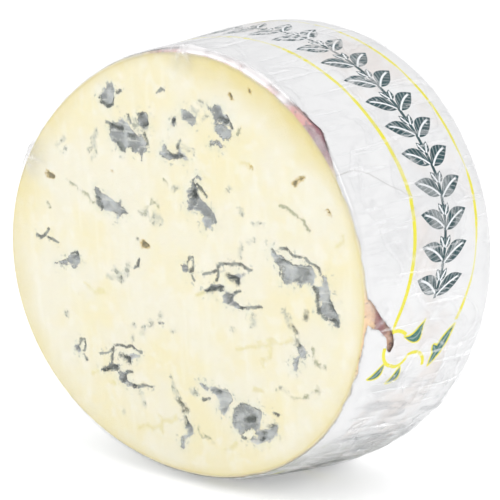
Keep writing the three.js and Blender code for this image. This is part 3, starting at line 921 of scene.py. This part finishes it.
aroundPaper = 2 * np.pi * paperLook["arcRadius"]


# The y of the band's front line at an angle: a parabola on the near side of its crest, then a
# gentle slope.
def bandLine(angle):
    degrees = np.degrees(angle)
    near = np.clip((24 - degrees) / 33, 0, 1)
    return 19.5 - 9.4 * near**2 - 0.105 * np.clip(degrees - 24, 0, None)


# The arc length from the band's start, and the place across the band from its front line. The
# far half of the paper carries the same band again.
def bandPlace(angle, y):
    degrees = np.degrees(angle)
    turned = np.where(degrees < -60, degrees + 360, degrees)
    far = turned > 130
    own = np.where(far, turned - 180, turned)
    across = y - bandLine(np.radians(own))
    along = (own - paperLook["bandStart"]) * np.pi / 180 * paperLook["arcRadius"]
    return np.stack([along + np.where(far, paperLook["farShift"], 0.0), across], axis=-1)


# How low on the right of the side a place is, where paper and film are crumpled.
def lowSide(degrees):
    return step(-degrees, 12, 36) * (1 - step(-degrees, 120, 160))


# How crumpled a place is: low on the side, and less so towards the heel.
def crumpledPart(degrees, y):
    return lowSide(degrees) * (1 - 0.55 * step(y, 28, 52))


# The paper's relief: broad waves, crumples low on the side, one long crease, and pleats that
# grow towards the middle of the heel.
def paperRelief(angle, y, run):
    arc = angle * paperLook["arcRadius"]
    degrees = np.degrees(angle)
    relief = 0.16 * fractal(arc, y, 17, 61, 3, aroundPaper)
    relief = relief + (0.07 + 0.5 * crumpledPart(degrees, y)) * crumple(arc, y, 11, 62, aroundPaper)
    creaseAngle = 29 - 8.5 * step(y, 4, 20)
    fromCrease = (degrees - creaseAngle) * np.pi / 180 * paperLook["arcRadius"]
    relief = relief + 0.22 * np.exp(-((fromCrease / 0.9) ** 2)) * (1 - step(y, 20, 30))
    heelward = np.clip(run - 1, 0, 1)
    pleatPlace = angle / (2 * np.pi) * 34 + 0.6 * fractal(angle * 20, y, 9, 63, 2, 40 * np.pi)
    pleats = np.abs((pleatPlace % 1) - 0.5) * 2
    return relief * (1 - 0.6 * heelward) + 0.55 * step(heelward, 0.05, 0.7) * (pleats - 0.5)


# Rows from the cut to the middle of the heel, closer together near the cut.
def paperRuns(rows):
    t = np.linspace(0, 1, rows)
    return 2 * (0.35 * t**2 + 0.65 * t) * 0.993


# The paper on a grid of angle and run, without the quads in the tear, closed by a pole.
def buildPaper():
    columns, rows = paperLook["columns"], paperLook["rows"]
    angle = np.linspace(-np.pi, np.pi, columns, endpoint=False)[None, :]
    run = paperRuns(rows)[:, None]
    degrees, back = zip(*paperLook["edge"])
    arc = angle * paperLook["arcRadius"]
    standBack = np.interp(np.degrees(angle), degrees, back) + 0.35 * fractal(arc, 0 * arc, 3.5, 64, 3,
                                                                             aroundPaper)
    _, y = skin(angle, run, 0.0, standBack)
    angle = angle + 0 * y
    run = run + 0 * y

    # the quads whose middle lies in the tear go, and the points round them move onto its outline
    flat = np.stack([angle.ravel() * paperLook["arcRadius"], y.ravel()], axis=-1)
    nearest, away, inside = outlineNearest(flat, paperLook["tear"])
    number = np.arange(rows * columns).reshape(rows, columns)
    quads = ringQuads(number)
    torn = (inside[quads].sum(axis=1) > 2) & (run.ravel()[quads].max(axis=1) < 1)
    border = np.intersect1d(quads[torn].ravel(), quads[~torn].ravel())
    border = border[flat[border, 1] > cutEdge(flat[border, 0] / paperLook["arcRadius"], 0.0, 0.0) + 1]
    flat[border] = nearest[border]
    angle = (flat[:, 0] / paperLook["arcRadius"]).reshape(rows, columns)
    movedY = flat[:, 1].reshape(rows, columns)
    away[border] = 0

    lift = paperLook["tearLift"] * np.exp(-away.reshape(rows, columns) / 1.3) * (np.abs(angle) < 0.5)
    fromEdge = y - cutEdge(angle, 0.0, standBack)
    lifted = step(np.degrees(angle), 26, 36) * (1 - step(np.degrees(angle), 86, 96))
    edgeWaves = step(fractal(arc + 0 * y, 0 * y, 14, 65, 2, aroundPaper), -0.3, 0.4)
    edgeLift = 0.4 * np.exp(-fromEdge / 2.2) * lifted * edgeWaves
    settle = 0.25 + 0.75 * np.maximum(step(fromEdge, 0, 6), lifted)
    off = paperLook["standOut"] * (0.4 + 0.6 * settle) + lift + edgeLift
    off = off + settle * np.clip(paperRelief(angle, y, run), *paperLook["reliefRange"])
    radius, skinY = skin(angle, run, off, standBack)
    onSide = run < 1
    finalY = np.where(onSide, movedY + (skinY - y) * 0.2, skinY)
    rounded = edgeFall(np.maximum(finalY - cutEdge(angle, 0.0, 0.0), 0))
    radius = np.where(onSide, sideRadius(angle, finalY, off) - rounded, radius)
    points = settled(radius * np.cos(angle), finalY, radius * np.sin(angle), off).reshape(-1, 3)
    heel = np.array([[0, cheeseShape["heelLevel"] + paperLook["standOut"], 0]])
    points = np.concatenate([points, heel])
    kept = quads[~torn]
    fan = poleFan(number[-1], len(points) - 1, outwards=False)

    # the two maps: arc length and y, and the place on the printed band
    wrapped = np.concatenate([angle, angle[:, :1] + 2 * np.pi], axis=1)
    wideY = np.concatenate([movedY, movedY[:, :1]], axis=1)
    sheetMap = np.stack([wrapped * paperLook["arcRadius"], wideY], axis=-1)
    bandMap = bandPlace(angle, movedY)
    bandMap = np.concatenate([bandMap, bandMap[:, :1]], axis=1)
    maps = {}
    for key, grid in (("sheet", sheetMap), ("band", bandMap)):
        corners = np.stack([grid[:-1, :-1], grid[1:, :-1], grid[1:, 1:], grid[:-1, 1:]], axis=2)
        corners = corners.reshape(-1, 4, 2)[~torn].reshape(-1, 2)
        maps[key] = np.concatenate([corners, np.full((len(fan) * 3, 2), -300.0)])
    fields = {"fromEdge": np.append(np.minimum(fromEdge, away.reshape(rows, columns)), 60.0)}
    piece = makePiece("printedPaper", points, kept.tolist() + fan.tolist(), fields, maps)
    wall = piece.modifiers.new("paperWall", "SOLIDIFY")
    wall.thickness = paperLook["thickness"] * millimetre
    wall.offset = -1
    return piece


# A printed leaf: its half width follows a parabola from foot to tip, and so does its bow. The
# blade, the pale ribs on it and the yellow rim round it come out as masks.
def makeLeafGroup():
    tree, given, out = newGroup(
        "printedLeaf",
        {"Place": (0, 0, 0), "Foot": (0, 0, 0), "Turn": 0.0, "Length": 9.0, "Width": 1.9, "Bend": 0.0},
        ("Blade", "Rib", "Rim"),
    )
    turned = turnedPlace(tree, given["Place"], given["Foot"], given["Turn"])
    parts = parted(tree, turned)
    share = calc(tree, "DIVIDE", parts["X"], given["Length"])
    within = times(tree, rise(tree, share, -0.08, -0.02), rise(tree, share, 1.08, 1.02))
    along = calc(tree, "MINIMUM", larger(tree, share, -0.1), 1.1)
    profile = times(tree, times(tree, along, minus(tree, 1.0, along)), 4.0)
    bent = times(tree, profile, given["Bend"])
    side = calc(tree, "ABSOLUTE", plus(tree, parts["Y"], bent))
    fuller = times(tree, profile, minus(tree, 1.25, times(tree, along, 0.5)))
    half = times(tree, fuller, given["Width"])
    blade = rise(tree, minus(tree, half, side), -0.08, 0.08)
    rib = times(tree, rise(tree, side, 0.34, 0.2), rise(tree, along, 0.9, 0.78))
    slanted = minus(tree, parts["X"], times(tree, side, 1.1))
    vein = calc(tree, "FRACT", calc(tree, "DIVIDE", slanted, 1.7))
    veins = times(tree, rise(tree, calc(tree, "ABSOLUTE", minus(tree, vein, 0.5)), 0.14, 0.06), 0.35)
    tree.links.new(blade, out["Blade"])
    tree.links.new(times(tree, larger(tree, rib, veins), blade), out["Rib"])
    rim = rise(tree, minus(tree, plus(tree, half, 0.6), side), -0.08, 0.1)
    tree.links.new(times(tree, rim, within), out["Rim"])
    return tree


# A printed line along an arc: inside the line's width of a circle, and within half an opening of
# the direction that it faces.
def makeArcGroup():
    tree, given, out = newGroup(
        "printedArc",
        {"Place": (0, 0, 0), "Centre": (0, 0, 0), "Radius": 5.0, "Facing": 0.0, "Opening": 1.5,
         "Width": 0.5},
        ("Line",),
    )
    turned = turnedPlace(tree, given["Place"], given["Centre"], given["Facing"])
    parts = parted(tree, turned)
    reach = vectorCalc(tree, "LENGTH", turned)
    away = calc(tree, "ABSOLUTE", minus(tree, reach, given["Radius"]))
    line = rise(tree, minus(tree, away, given["Width"]), 0.1, -0.1)
    aside = calc(tree, "ABSOLUTE", calc(tree, "ARCTAN2", parts["Y"], parts["X"]))
    within = rise(tree, minus(tree, aside, given["Opening"]), 0.02, -0.02)
    tree.links.new(times(tree, line, within), out["Line"])
    return tree


# The print, in millimetres along and across the band: s and w.
printLook = {
    "lineHalf": 0.5,
    "garlandPeriod": 8.0,
    "garlandStart": 7.0,
    "garlandMiddle": 11.4,
    # foot in the period, turn, length, half width, bow
    "garlandLeaves": ((0.6, 0.3, 1.1, 9.4, 2.2, 0.8), (1.2, -0.3, -1.1, 9.4, 2.2, -0.8),
                      (4.2, 0.2, 0.5, 3.4, 1.0, 0.0), (4.4, -0.2, -0.5, 3.4, 1.0, 0.0)),
    # foot s and w, turn, length, half width, bow
    "endLeaves": ((1.4, 11.5, -2.13, 6.8, 1.5, 2.6), (-11.8, 18.1, 0.54, 12.2, 1.35, 0.4),
                  (-8.8, 20.0, -0.7, 3.8, 0.9, 0.0), (-9.2, 0.5, -2.32, 5.9, 1.0, 1.2),
                  (-11.0, 7.1, -2.54, 5.6, 1.0, 1.1)),
    # centre s and w, radius, facing, half opening
    "endArcs": ((-6.9, 1.5, 7.0, 0.24, 0.46), (-4.1, 4.8, 6.2, -2.29, 0.72),
                (-7.0, 4.9, 3.5, 2.61, 0.8), (-12.0, 10.7, 4.9, 0.48, 1.0)),
}


# The printed band: two yellow lines, a scroll at its end and a leaf garland between the lines.
def printMasks(tree, band):
    leafGroup, arcGroup = makeLeafGroup(), makeArcGroup()
    parts = parted(tree, band)
    farCopy = calc(tree, "GREATER_THAN", parts["X"], paperLook["farStart"])
    s = minus(tree, parts["X"], times(tree, farCopy, paperLook["farShift"]))
    w = parts["Y"]
    place = flatPlace(tree, s, w)
    onBand = times(tree, calc(tree, "GREATER_THAN", s, 0.0),
                   calc(tree, "LESS_THAN", s, paperLook["bandLength"]))
    half = printLook["lineHalf"]
    heavy = rise(tree, cloud(tree, place, 0.07, 2), 0.36, 0.54)
    bold = larger(tree, heavy, times(tree, rise(tree, s, 58.0, 44.0), rise(tree, w, 9.0, 7.0)))
    wide = plus(tree, 0.34, times(tree, bold, 0.3))
    front = minus(tree, calc(tree, "ABSOLUTE", w), wide)
    back = minus(tree, calc(tree, "ABSOLUTE", minus(tree, w, paperLook["bandWidth"])), wide)
    yellow = times(tree, rise(tree, calc(tree, "MINIMUM", front, back), 0.12, -0.12), onBand)
    yellow = times(tree, yellow, plus(tree, 0.6, times(tree, bold, 0.4)))
    for centreS, centreW, radius, facing, opening in printLook["endArcs"]:
        arc = useGroup(tree, arcGroup, Place=place, Centre=(centreS, centreW, 0), Radius=radius,
                       Facing=facing, Opening=opening, Width=half)
        yellow = larger(tree, yellow, arc["Line"])

    green, ribs = None, None
    inPeriod = calc(tree, "WRAP", minus(tree, s, printLook["garlandStart"]), printLook["garlandPeriod"],
                    0.0)
    fromMiddle = minus(tree, w, printLook["garlandMiddle"])
    repeated = flatPlace(tree, inPeriod, fromMiddle)
    for footS, footW, turn, length, width, bend in printLook["garlandLeaves"]:
        leaf = useGroup(tree, leafGroup, Place=repeated, Foot=(footS, footW, 0), Turn=turn,
                        Length=length, Width=width, Bend=bend)
        green = leaf["Blade"] if green is None else larger(tree, green, leaf["Blade"])
        ribs = leaf["Rib"] if ribs is None else larger(tree, ribs, leaf["Rib"])
    stem = rise(tree, calc(tree, "ABSOLUTE", fromMiddle), 0.6, 0.4)
    green = larger(tree, green, stem)
    inGarland = times(tree, calc(tree, "GREATER_THAN", s, printLook["garlandStart"]),
                      calc(tree, "LESS_THAN", s, paperLook["bandLength"] - 6))
    green = times(tree, green, inGarland)
    ribs = times(tree, ribs, inGarland)
    scroll = None
    for footS, footW, turn, length, width, bend in printLook["endLeaves"]:
        leaf = useGroup(tree, leafGroup, Place=place, Foot=(footS, footW, 0), Turn=turn, Length=length,
                        Width=width, Bend=bend)
        yellow = larger(tree, yellow, leaf["Rim"])
        scroll = leaf["Blade"] if scroll is None else larger(tree, scroll, leaf["Blade"])
        ribs = larger(tree, ribs, times(tree, leaf["Rib"], 0.25))
    return yellow, larger(tree, green, scroll), ribs, scroll, w


# White satin paper: faint fibres and stains, the print with its wear, and a crease with painted shade along it.
def paperMaterial():
    material, tree = newMaterial("satinPaper")
    place = objectPlace(tree)
    yellow, green, ribs, scroll, w = printMasks(tree, mapped(tree, "band"))
    white = blend(tree, cloud(tree, place, 60, 3), colour(0.685, 0.685, 0.695),
                  colour(0.735, 0.735, 0.735))
    inBand = times(tree, rise(tree, w, 0.0, 1.0),
                   rise(tree, w, paperLook["bandWidth"], paperLook["bandWidth"] - 1.0))
    warm = useGroup(tree, blotchGroup, Vector=place, Scale=75.0, Low=0.42, High=0.66)["Mask"]
    white = tint(tree, white, times(tree, warm, inBand), 0.6, colour(0.66, 0.60, 0.565))
    fleck = useGroup(tree, blotchGroup, Vector=place, Scale=900.0, Low=0.66, High=0.74)["Mask"]
    white = tint(tree, white, fleck, 0.3, colour(0.62, 0.62, 0.62))

    sheet = parted(tree, mapped(tree, "sheet"))
    arc, length = sheet["X"], sheet["Y"]
    creaseArc = minus(tree, 33.0, times(tree, rise(tree, length, 2.0, 24.0), 10.5))
    wobble = times(tree, minus(tree, cloud(tree, place, 220, 2), 0.5), 1.6)
    fromCrease = calc(tree, "ABSOLUTE", plus(tree, minus(tree, arc, creaseArc), wobble))
    creaseDentAndShade = times(tree, rise(tree, fromCrease, 0.26, 0.05), rise(tree, length, 26.0, 18.0))

    topWear = rise(tree, arc, 56.0, 80.0)
    streak = drawnOut(tree, mapped(tree, "sheet"), (0, 0, 0), (0.9, 0.35, 1.0))
    gone = times(tree, rise(tree, cloud(tree, streak, 1.0, 4, 0.6), 0.44, 0.56), topWear)
    worn = larger(tree, gone,
                  useGroup(tree, blotchGroup, Vector=place, Scale=520.0, Low=0.62, High=0.72)["Mask"])
    kept = minus(tree, 1.0, times(tree, worn, 0.8))
    ink = blend(tree, cloud(tree, place, 300, 3, 0.6), colour(0.0, 0.020, 0.026),
                colour(0.012, 0.075, 0.085))
    teal = blend(tree, cloud(tree, place, 500, 2), colour(0.0, 0.075, 0.065), colour(0.01, 0.17, 0.14))
    ink = blend(tree, scroll, ink, teal)
    ink = blend(tree, ribs, ink, colour(0.78, 0.80, 0.82))
    lemon = blend(tree, cloud(tree, place, 240, 2), colour(0.72, 0.65, 0.008), colour(0.74, 0.70, 0.06))
    surface = tint(tree, white, yellow, kept, lemon)
    surface = tint(tree, surface, green, kept, ink)
    # painted shade along the crease
    surface = tint(tree, surface, creaseDentAndShade, 0.5, colour(0.36, 0.34, 0.32))

    # darker grey-olive streaks over the underside, a broken line of painted shadow along the paper's edge at the top,
    # and a weaker one on the right by the tear
    underStreakPlace = drawnOut(tree, mapped(tree, "sheet"), (0, 0, 0.5), (0.30, 0.08, 1.0))
    streaks = rise(tree, cloud(tree, underStreakPlace, 1.0, 5, 0.65, 0.8), 0.38, 0.56)
    under = times(tree, rise(tree, arc, -40.0, -66.0), rise(tree, arc, -190.0, -150.0))
    under = times(tree, under, rise(tree, length, 57.0, 36.0))
    # darker towards the underside: a fixed share everywhere there, more along the streaks
    darkerUnderneath = times(tree, under, plus(tree, 0.22, times(tree, streaks, 0.5)))
    surface = blend(tree, darkerUnderneath, surface, colour(0.27, 0.28, 0.245))
    greenish = times(tree, rise(tree, cloud(tree, place, 330, 3, 0.6), 0.60, 0.68), under)
    surface = tint(tree, surface, greenish, 0.5, colour(0.30, 0.34, 0.16))
    upper = times(tree, rise(tree, arc, 34.0, 42.0), rise(tree, arc, 108.0, 98.0))
    sideways = times(tree, rise(tree, arc, -70.0, -50.0), rise(tree, arc, 4.0, -2.0))
    broken = rise(tree, cloud(tree, place, 500, 3, 0.6), 0.46, 0.58)
    # painted shadow: a broken dark line just inside the paper's edge, as if the lifted edge shaded the gap
    edgeShadowLine = times(tree, rise(tree, field(tree, "fromEdge"), 0.55, 0.15), broken)
    edgeShadowLine = times(tree, edgeShadowLine, plus(tree, upper, times(tree, sideways, 0.5)))
    surface = tint(tree, surface, edgeShadowLine, 0.8, colour(0.17, 0.12, 0.12))

    fine = useGroup(tree, creaseGroup, Vector=place, Scale=60.0, Sharpness=9.0)["Height"]
    height = plus(tree, times(tree, fine, 0.6), times(tree, cloud(tree, place, 1600, 3), 0.12))
    height = minus(tree, height, times(tree, creaseDentAndShade, 0.8))
    finishMaterial(tree, principled(tree, {
        "Base Color": surface,
        "Roughness": plus(tree, 0.42, times(tree, cloud(tree, place, 400, 3), 0.2)),
        "Specular IOR Level": 0.22,
        "Normal": bump(tree, height, 0.3, 0.00025),
    }))
    return material


paperPiece = buildPaper()
paperPiece.data.materials.append(paperMaterial())
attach(paperPiece, "root")
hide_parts("paper_wrapper")
print("paper made:", len(paperPiece.data.polygons), "faces")

filmLook = {
    "columns": 560,
    "faceRows": 26,
    "sideRows": 38,
    "heelRows": 18,
    "standOut": 0.5,
    "edgeStandOut": 0.3,
    "faceGap": 0.3,
    "thickness": 0.03,
    "opening": 1.62,  # the run at which the film ends on the heel
    # where the film is drawn together: angle in degrees, y, reach in mm, folds and how far they stand
    "puckers": ((153.0, 0.5, 5.5, 7, 0.9), (82.0, 1.0, 4.5, 6, 0.8)),
}


# The film's relief on the side and heel: it keeps off the paper, is drawn into long fine folds
# that run back, crumples low on the side and gathers in towards its opening.
def filmRelief(angle, y, run):
    arc = angle * paperLook["arcRadius"]
    long = valueNoise(arc + 0.35 * y, y * 0.12, 2.6, 71, aroundPaper) * 0.5
    long = long + valueNoise(arc - 0.2 * y, y * 0.1, 5.2, 72, aroundPaper)
    away = step(y, 1, 14)
    relief = 0.12 * long * away
    low = crumpledPart(np.degrees(angle), y)
    relief = relief + (0.08 + 0.6 * low) * away * (0.5 + 0.5 * crumple(arc, y, 13, 73, aroundPaper))
    heelward = np.clip(run - 1, 0, 1)
    gather = valueNoise(arc, y * 0.05, 3.4, 74, aroundPaper) + 0.5 * valueNoise(arc, y * 0.1, 1.9, 75,
                                                                                aroundPaper)
    return relief + 0.5 * step(heelward, 0.1, 0.62) * (0.5 + 0.5 * gather)


# The puckers' folds: spokes round each centre that fade with distance. Gives their height and
# the painted highlight there, strongest between the folds.
def puckerFolds(arc, y):
    height, milk = np.zeros_like(arc), np.zeros_like(arc)
    for degrees, level, reach, folds, stand in filmLook["puckers"]:
        alongArc = arc - np.radians(degrees) * paperLook["arcRadius"]
        away, turn = np.hypot(alongArc, y - level), np.arctan2(y - level, alongArc)
        wander = 0.8 * valueNoise(arc, y, 2.0, 77)
        spokes = np.abs(np.sin(folds / 2 * turn + wander)) ** 0.7
        fade = np.exp(-((away / reach) ** 2))
        height = height + stand * fade * (0.35 + 0.65 * spokes) * step(away, 0, 1.2)
        milk = milk + fade * (0.35 + 0.65 * (1 - spokes))
    return height, np.clip(milk, 0, 1)


# The film from the middle of the cut face over the rim and the side to its opening in the heel.
def buildFilm():
    columns = filmLook["columns"]
    angle = np.linspace(-np.pi, np.pi, columns, endpoint=False)[None, :]
    arc = angle * paperLook["arcRadius"]
    drop = cheeseShape["edgeDrop"] * cheeseShape["edgeRound"]
    off, edgeOff, gap = filmLook["standOut"], filmLook["edgeStandOut"], filmLook["faceGap"]

    # over the cut face, from near its middle to the rim
    share = 1 - np.linspace(1, 0, filmLook["faceRows"] + 1)[:-1] ** 1.5
    share = np.append(share[1:], 1.0)[:, None]
    cutY = cutEdge(angle, edgeOff, -gap)
    rim = sideRadius(angle, cutY, edgeOff) - drop
    fromRim = (1 - share) * rim
    faceX, faceZ = share * rim * np.cos(angle), share * rim * np.sin(angle)
    faceStand, facePuckerHighlight = puckerFolds(arc + 0 * fromRim, -fromRim)
    faceY = cheeseShape["cutLean"] * faceZ - gap + edgeFall(fromRim) - faceStand
    facePoints = np.stack([faceX, faceY, faceZ], axis=-1)

    # round the side and in over the heel
    run = np.concatenate([
        (np.linspace(0, 1, filmLook["sideRows"] + 1)[1:]) ** 1.35,
        1 + np.linspace(0, filmLook["opening"] - 1, filmLook["heelRows"] + 1)[1:],
    ])[:, None]
    _, y = skin(angle, run, off, -gap)
    spread = angle + 0 * y
    runs = run + 0 * y
    fromCut = y - cutY
    sideStand, sidePuckerHighlight = puckerFolds(arc + 0 * y, fromCut)
    paperOff = paperLook["standOut"] + np.clip(paperRelief(spread, y, runs), *paperLook["reliefRange"])
    standOut = np.maximum(off + filmRelief(spread, y, runs), paperOff + 0.12)
    lifted = step(np.degrees(angle), 24, 34) * (1 - step(np.degrees(angle), 88, 98))
    byTear = np.exp(-(((arc + 7) / 9) ** 2) - ((y - 5) / 8) ** 2)
    standOut = standOut + 0.4 * lifted * np.exp(-np.maximum(fromCut - 2, 0) / 3) + 0.4 * byTear
    standOut = edgeOff + (standOut - edgeOff) * step(fromCut, -0.3, 0.7) + sideStand
    noiseRadius = cheeseShape["noiseRadius"]
    ragged = 0.04 * valueNoise(spread * noiseRadius, 0 * y, 6, 76, 2 * np.pi * noiseRadius) * step(runs,
                                                                                                   1.3,
                                                                                                   filmLook["opening"])
    radius, y = skin(spread, runs + ragged, standOut, -gap + drop)
    radius = radius - edgeFall(y - cutY)
    sidePoints = settled(radius * np.cos(angle), y, radius * np.sin(angle), standOut)

    middle = np.array([[0.0, -gap, 0.0]])
    points = np.concatenate([middle, facePoints.reshape(-1, 3), sidePoints.reshape(-1, 3)])
    rows = facePoints.shape[0] + sidePoints.shape[0]
    rings = 1 + np.arange(rows * columns).reshape(rows, columns)
    fan = poleFan(rings[0], 0, outwards=True)
    faces = fan.tolist() + ringQuads(rings).tolist()

    # point fields: how loose the film is, its painted highlight, and how crumpled
    degrees = np.degrees(angle)
    ringRun = np.concatenate([share.ravel() - 1, run.ravel()])
    loose = np.repeat(step(ringRun, -0.02, 0.15), columns)
    fromEdge = np.concatenate([-fromRim, fromCut])
    topRight = step(degrees, 5, 30) * (1 - step(degrees, 96, 110))
    bridge = step(degrees, 46, 54) * (1 - step(degrees, 76, 84))
    # painted highlight: the film's glare where it bends over the rim, strongest at the top right and across the bridge
    rimHighlight = np.exp(-(((fromEdge - 0.2) / 0.9) ** 2)) * (0.1 + 0.5 * topRight)
    rimHighlight = rimHighlight + bridge * step(fromEdge, -0.6, 0.2) * (1 - step(fromEdge, 1.6, 2.6))
    rimHighlight = rimHighlight * (0.7 + 0.3 * valueNoise(arc + 0 * fromEdge, fromEdge, 2.5, 78, aroundPaper))
    milk = np.clip(np.concatenate([facePuckerHighlight, sidePuckerHighlight]) * 0.8 + rimHighlight, 0, 1)
    crumpled = np.concatenate([0 * fromRim, lowSide(degrees) * step(fromCut, 2, 12)])
    fields = {"loose": np.append(0.0, loose), "milk": np.append(0.0, milk),
              "crumpled": np.append(0.0, crumpled)}

    # the map: arc length and distance from the edge
    sheet = np.stack([arc + 0 * fromEdge, fromEdge], axis=-1)
    after = np.concatenate([sheet[:, 1:], sheet[:, :1] + [aroundPaper, 0]], axis=1)
    corners = np.stack([sheet[:-1], sheet[1:], after[1:], after[:-1]], axis=2).reshape(-1, 2)
    maps = {"sheet": np.concatenate([np.full((len(fan) * 3, 2), -100.0), corners])}
    piece = makePiece("clingFilm", points, faces, fields, maps)
    wall = piece.modifiers.new("filmWall", "SOLIDIFY")
    wall.thickness = filmLook["thickness"] * millimetre
    wall.offset = 0
    return piece


# Clear film: nearly all open, with a thin cover that is denser at a glancing look and in its folds, where white
# painted highlights lie, and grey painted shade where it is crumpled. The high index gives that thin cover the gloss
# of a whole sheet.
def filmMaterial():
    material, tree = newMaterial("clearFilm")
    place = objectPlace(tree)
    loose, milk, crumpled = field(tree, "loose"), field(tree, "milk"), field(tree, "crumpled")
    fold = useGroup(tree, creaseGroup, Vector=place, Scale=48.0, Sharpness=9.0)["Height"]
    fine = useGroup(tree, creaseGroup, Vector=place, Scale=130.0, Sharpness=10.0)["Height"]
    height = plus(tree, fold, times(tree, fine, 0.4))
    normal = bump(tree, times(tree, height, plus(tree, 0.05, loose)), 0.35, 0.0003)

    # painted highlights as long straight streaks that slant back and as bright spots where it is crumpled, and painted
    # shade as grey streaks there
    slanted = drawnOut(tree, mapped(tree, "sheet"), (0, 0, 0.35), (0.55, 0.035, 1.0))
    streak = times(tree, rise(tree, cloud(tree, slanted, 1.0, 2), 0.58, 0.66), loose)
    twisted = drawnOut(tree, mapped(tree, "sheet"), (0, 0, -0.5), (0.22, 0.07, 1.0))
    shade = rise(tree, cloud(tree, twisted, 1.0, 4, 0.6, 1.2), 0.47, 0.62)
    shade = times(tree, shade, plus(tree, times(tree, loose, 0.12), crumpled))
    # painted highlight: bright glint spots
    spot = times(tree, rise(tree, cloud(tree, place, 260, 4, 0.6, 1.0), 0.60, 0.68),
                 plus(tree, times(tree, loose, 0.08), crumpled))

    glancing = tree.nodes.new("ShaderNodeLayerWeight")
    glancing.inputs["Blend"].default_value = 0.25
    # painted highlight along the fold ridges
    ridgeHighlight = times(tree, times(tree, rise(tree, fold, 0.6, 1.0), loose), 0.14)
    cover = plus(tree, 0.010, times(tree, loose, 0.004))
    cover = plus(tree, cover, times(tree, glancing.outputs["Facing"], 0.07))
    cover = plus(tree, cover, ridgeHighlight)
    cover = plus(tree, cover, times(tree, streak, 0.15))
    cover = plus(tree, cover, times(tree, shade, 0.2))
    cover = plus(tree, cover, times(tree, spot, 0.35))
    # painted highlight from the rim and the puckers: whiter and more covering
    cover = plus(tree, cover, times(tree, milk, 0.55))
    highlightWhitening = plus(tree, times(tree, ridgeHighlight, 6.0), plus(tree, streak, milk), clamp=True)
    tone = blend(tree, highlightWhitening, colour(0.36, 0.37, 0.39), colour(0.95, 0.95, 0.96))
    tone = tint(tree, tone, milk, 0.5, colour(0.97, 0.94, 0.94))
    tone = blend(tree, minus(tree, shade, spot, clamp=True), tone, colour(0.33, 0.35, 0.37))
    finishMaterial(tree, principled(tree, {
        "Base Color": tone,
        "Roughness": plus(tree, 0.10, times(tree, milk, 0.25)),
        "IOR": 3.2,
        "Alpha": calc(tree, "MINIMUM", cover, 0.9),
        "Normal": normal,
    }))
    return material


filmPiece = buildFilm()
filmPiece.data.materials.append(filmMaterial())
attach(filmPiece, "root")
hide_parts("cling_film")
print("film made:", len(filmPiece.data.polygons), "faces")

stageLook = {
    "floorSize": 6.0,
    "floorGlow": 0.26,
    "worldStrength": 0.91,
    "cameraBack": (0.61413, -0.76810, 0.18129),  # the way from the cheese to the camera
    "cameraDistance": 420.66,  # in millimetres, with the aim's place right and up of the cut face
    "cameraAim": (20.02, 5.10),
    "lens": 114.31,
    # name, place in metres, size, power in watts
    "lights": (("keyLight", (-0.6, -1.4, 1.0), 0.9, 6.0), ("sideLight", (1.3, -0.5, 0.8), 0.7, 5.0),
               ("topLight", (0.3, 0.4, 1.5), 0.7, 3.0)),
}


# The floor, an even white world and three soft lights that face the cheese.
def buildStage():
    size = stageLook["floorSize"]
    mesh = bpy.data.meshes.new("floor")
    corners = [(-size, -size, 0), (size, -size, 0), (size, size, 0), (-size, size, 0)]
    mesh.from_pydata(corners, [], [(0, 1, 2, 3)])
    floor = bpy.data.objects.new("floor", mesh)
    bpy.context.collection.objects.link(floor)
    material, tree = newMaterial("paleFloor")
    finishMaterial(tree, principled(tree, {
        "Base Color": colour(0.96, 0.96, 0.96), "Roughness": 0.9,
        "Emission Color": colour(1, 1, 1), "Emission Strength": stageLook["floorGlow"],
    }))
    mesh.materials.append(material)

    world = bpy.data.worlds.new("studio")
    world.use_nodes = True
    world.node_tree.nodes["Background"].inputs["Color"].default_value = colour(1, 1, 1)
    world.node_tree.nodes["Background"].inputs["Strength"].default_value = stageLook["worldStrength"]
    bpy.context.scene.world = world
    middle = np.array([0.0, 0.0, 0.06])
    for name, spot, size, power in stageLook["lights"]:
        data = bpy.data.lights.new(name, "AREA")
        data.shape = "DISK"
        data.size = size
        data.energy = power
        lamp = bpy.data.objects.new(name, data)
        away = np.array(spot) - middle
        away = away / np.linalg.norm(away)
        right = np.cross([0, 0, 1], away)
        right = right / np.linalg.norm(right)
        lamp.matrix_world = turnedTo(right, np.cross(away, right), away, spot)
        bpy.context.collection.objects.link(lamp)


# A turn onto three axes, then a move to a spot.
def turnedTo(right, up, back, spot):
    turn = Matrix((tuple(right), tuple(up), tuple(back))).transposed().to_4x4()
    return Matrix.Translation(tuple(spot)) @ turn


# The camera looks back along its own way, past an aim beside the middle of the cut face.
def buildCamera():
    back = np.array(stageLook["cameraBack"])
    back = back / np.linalg.norm(back)
    right = np.cross([0, 0, 1], back)
    right = right / np.linalg.norm(right)
    up = np.cross(back, right)
    aimRight, aimUp = stageLook["cameraAim"]
    local = right * aimRight + up * aimUp + back * stageLook["cameraDistance"]
    data = bpy.data.cameras.new("camera")
    data.sensor_width = 36.0
    data.lens = stageLook["lens"]
    data.clip_start = 0.01
    camera = bpy.data.objects.new("camera", data)
    camera.matrix_world = turnedTo(right, up, back, originPlace + local * millimetre)
    bpy.context.collection.objects.link(camera)
    bpy.context.scene.camera = camera


buildStage()
buildCamera()
bpy.context.scene.view_settings.view_transform = "Standard"
print("stage and camera made")
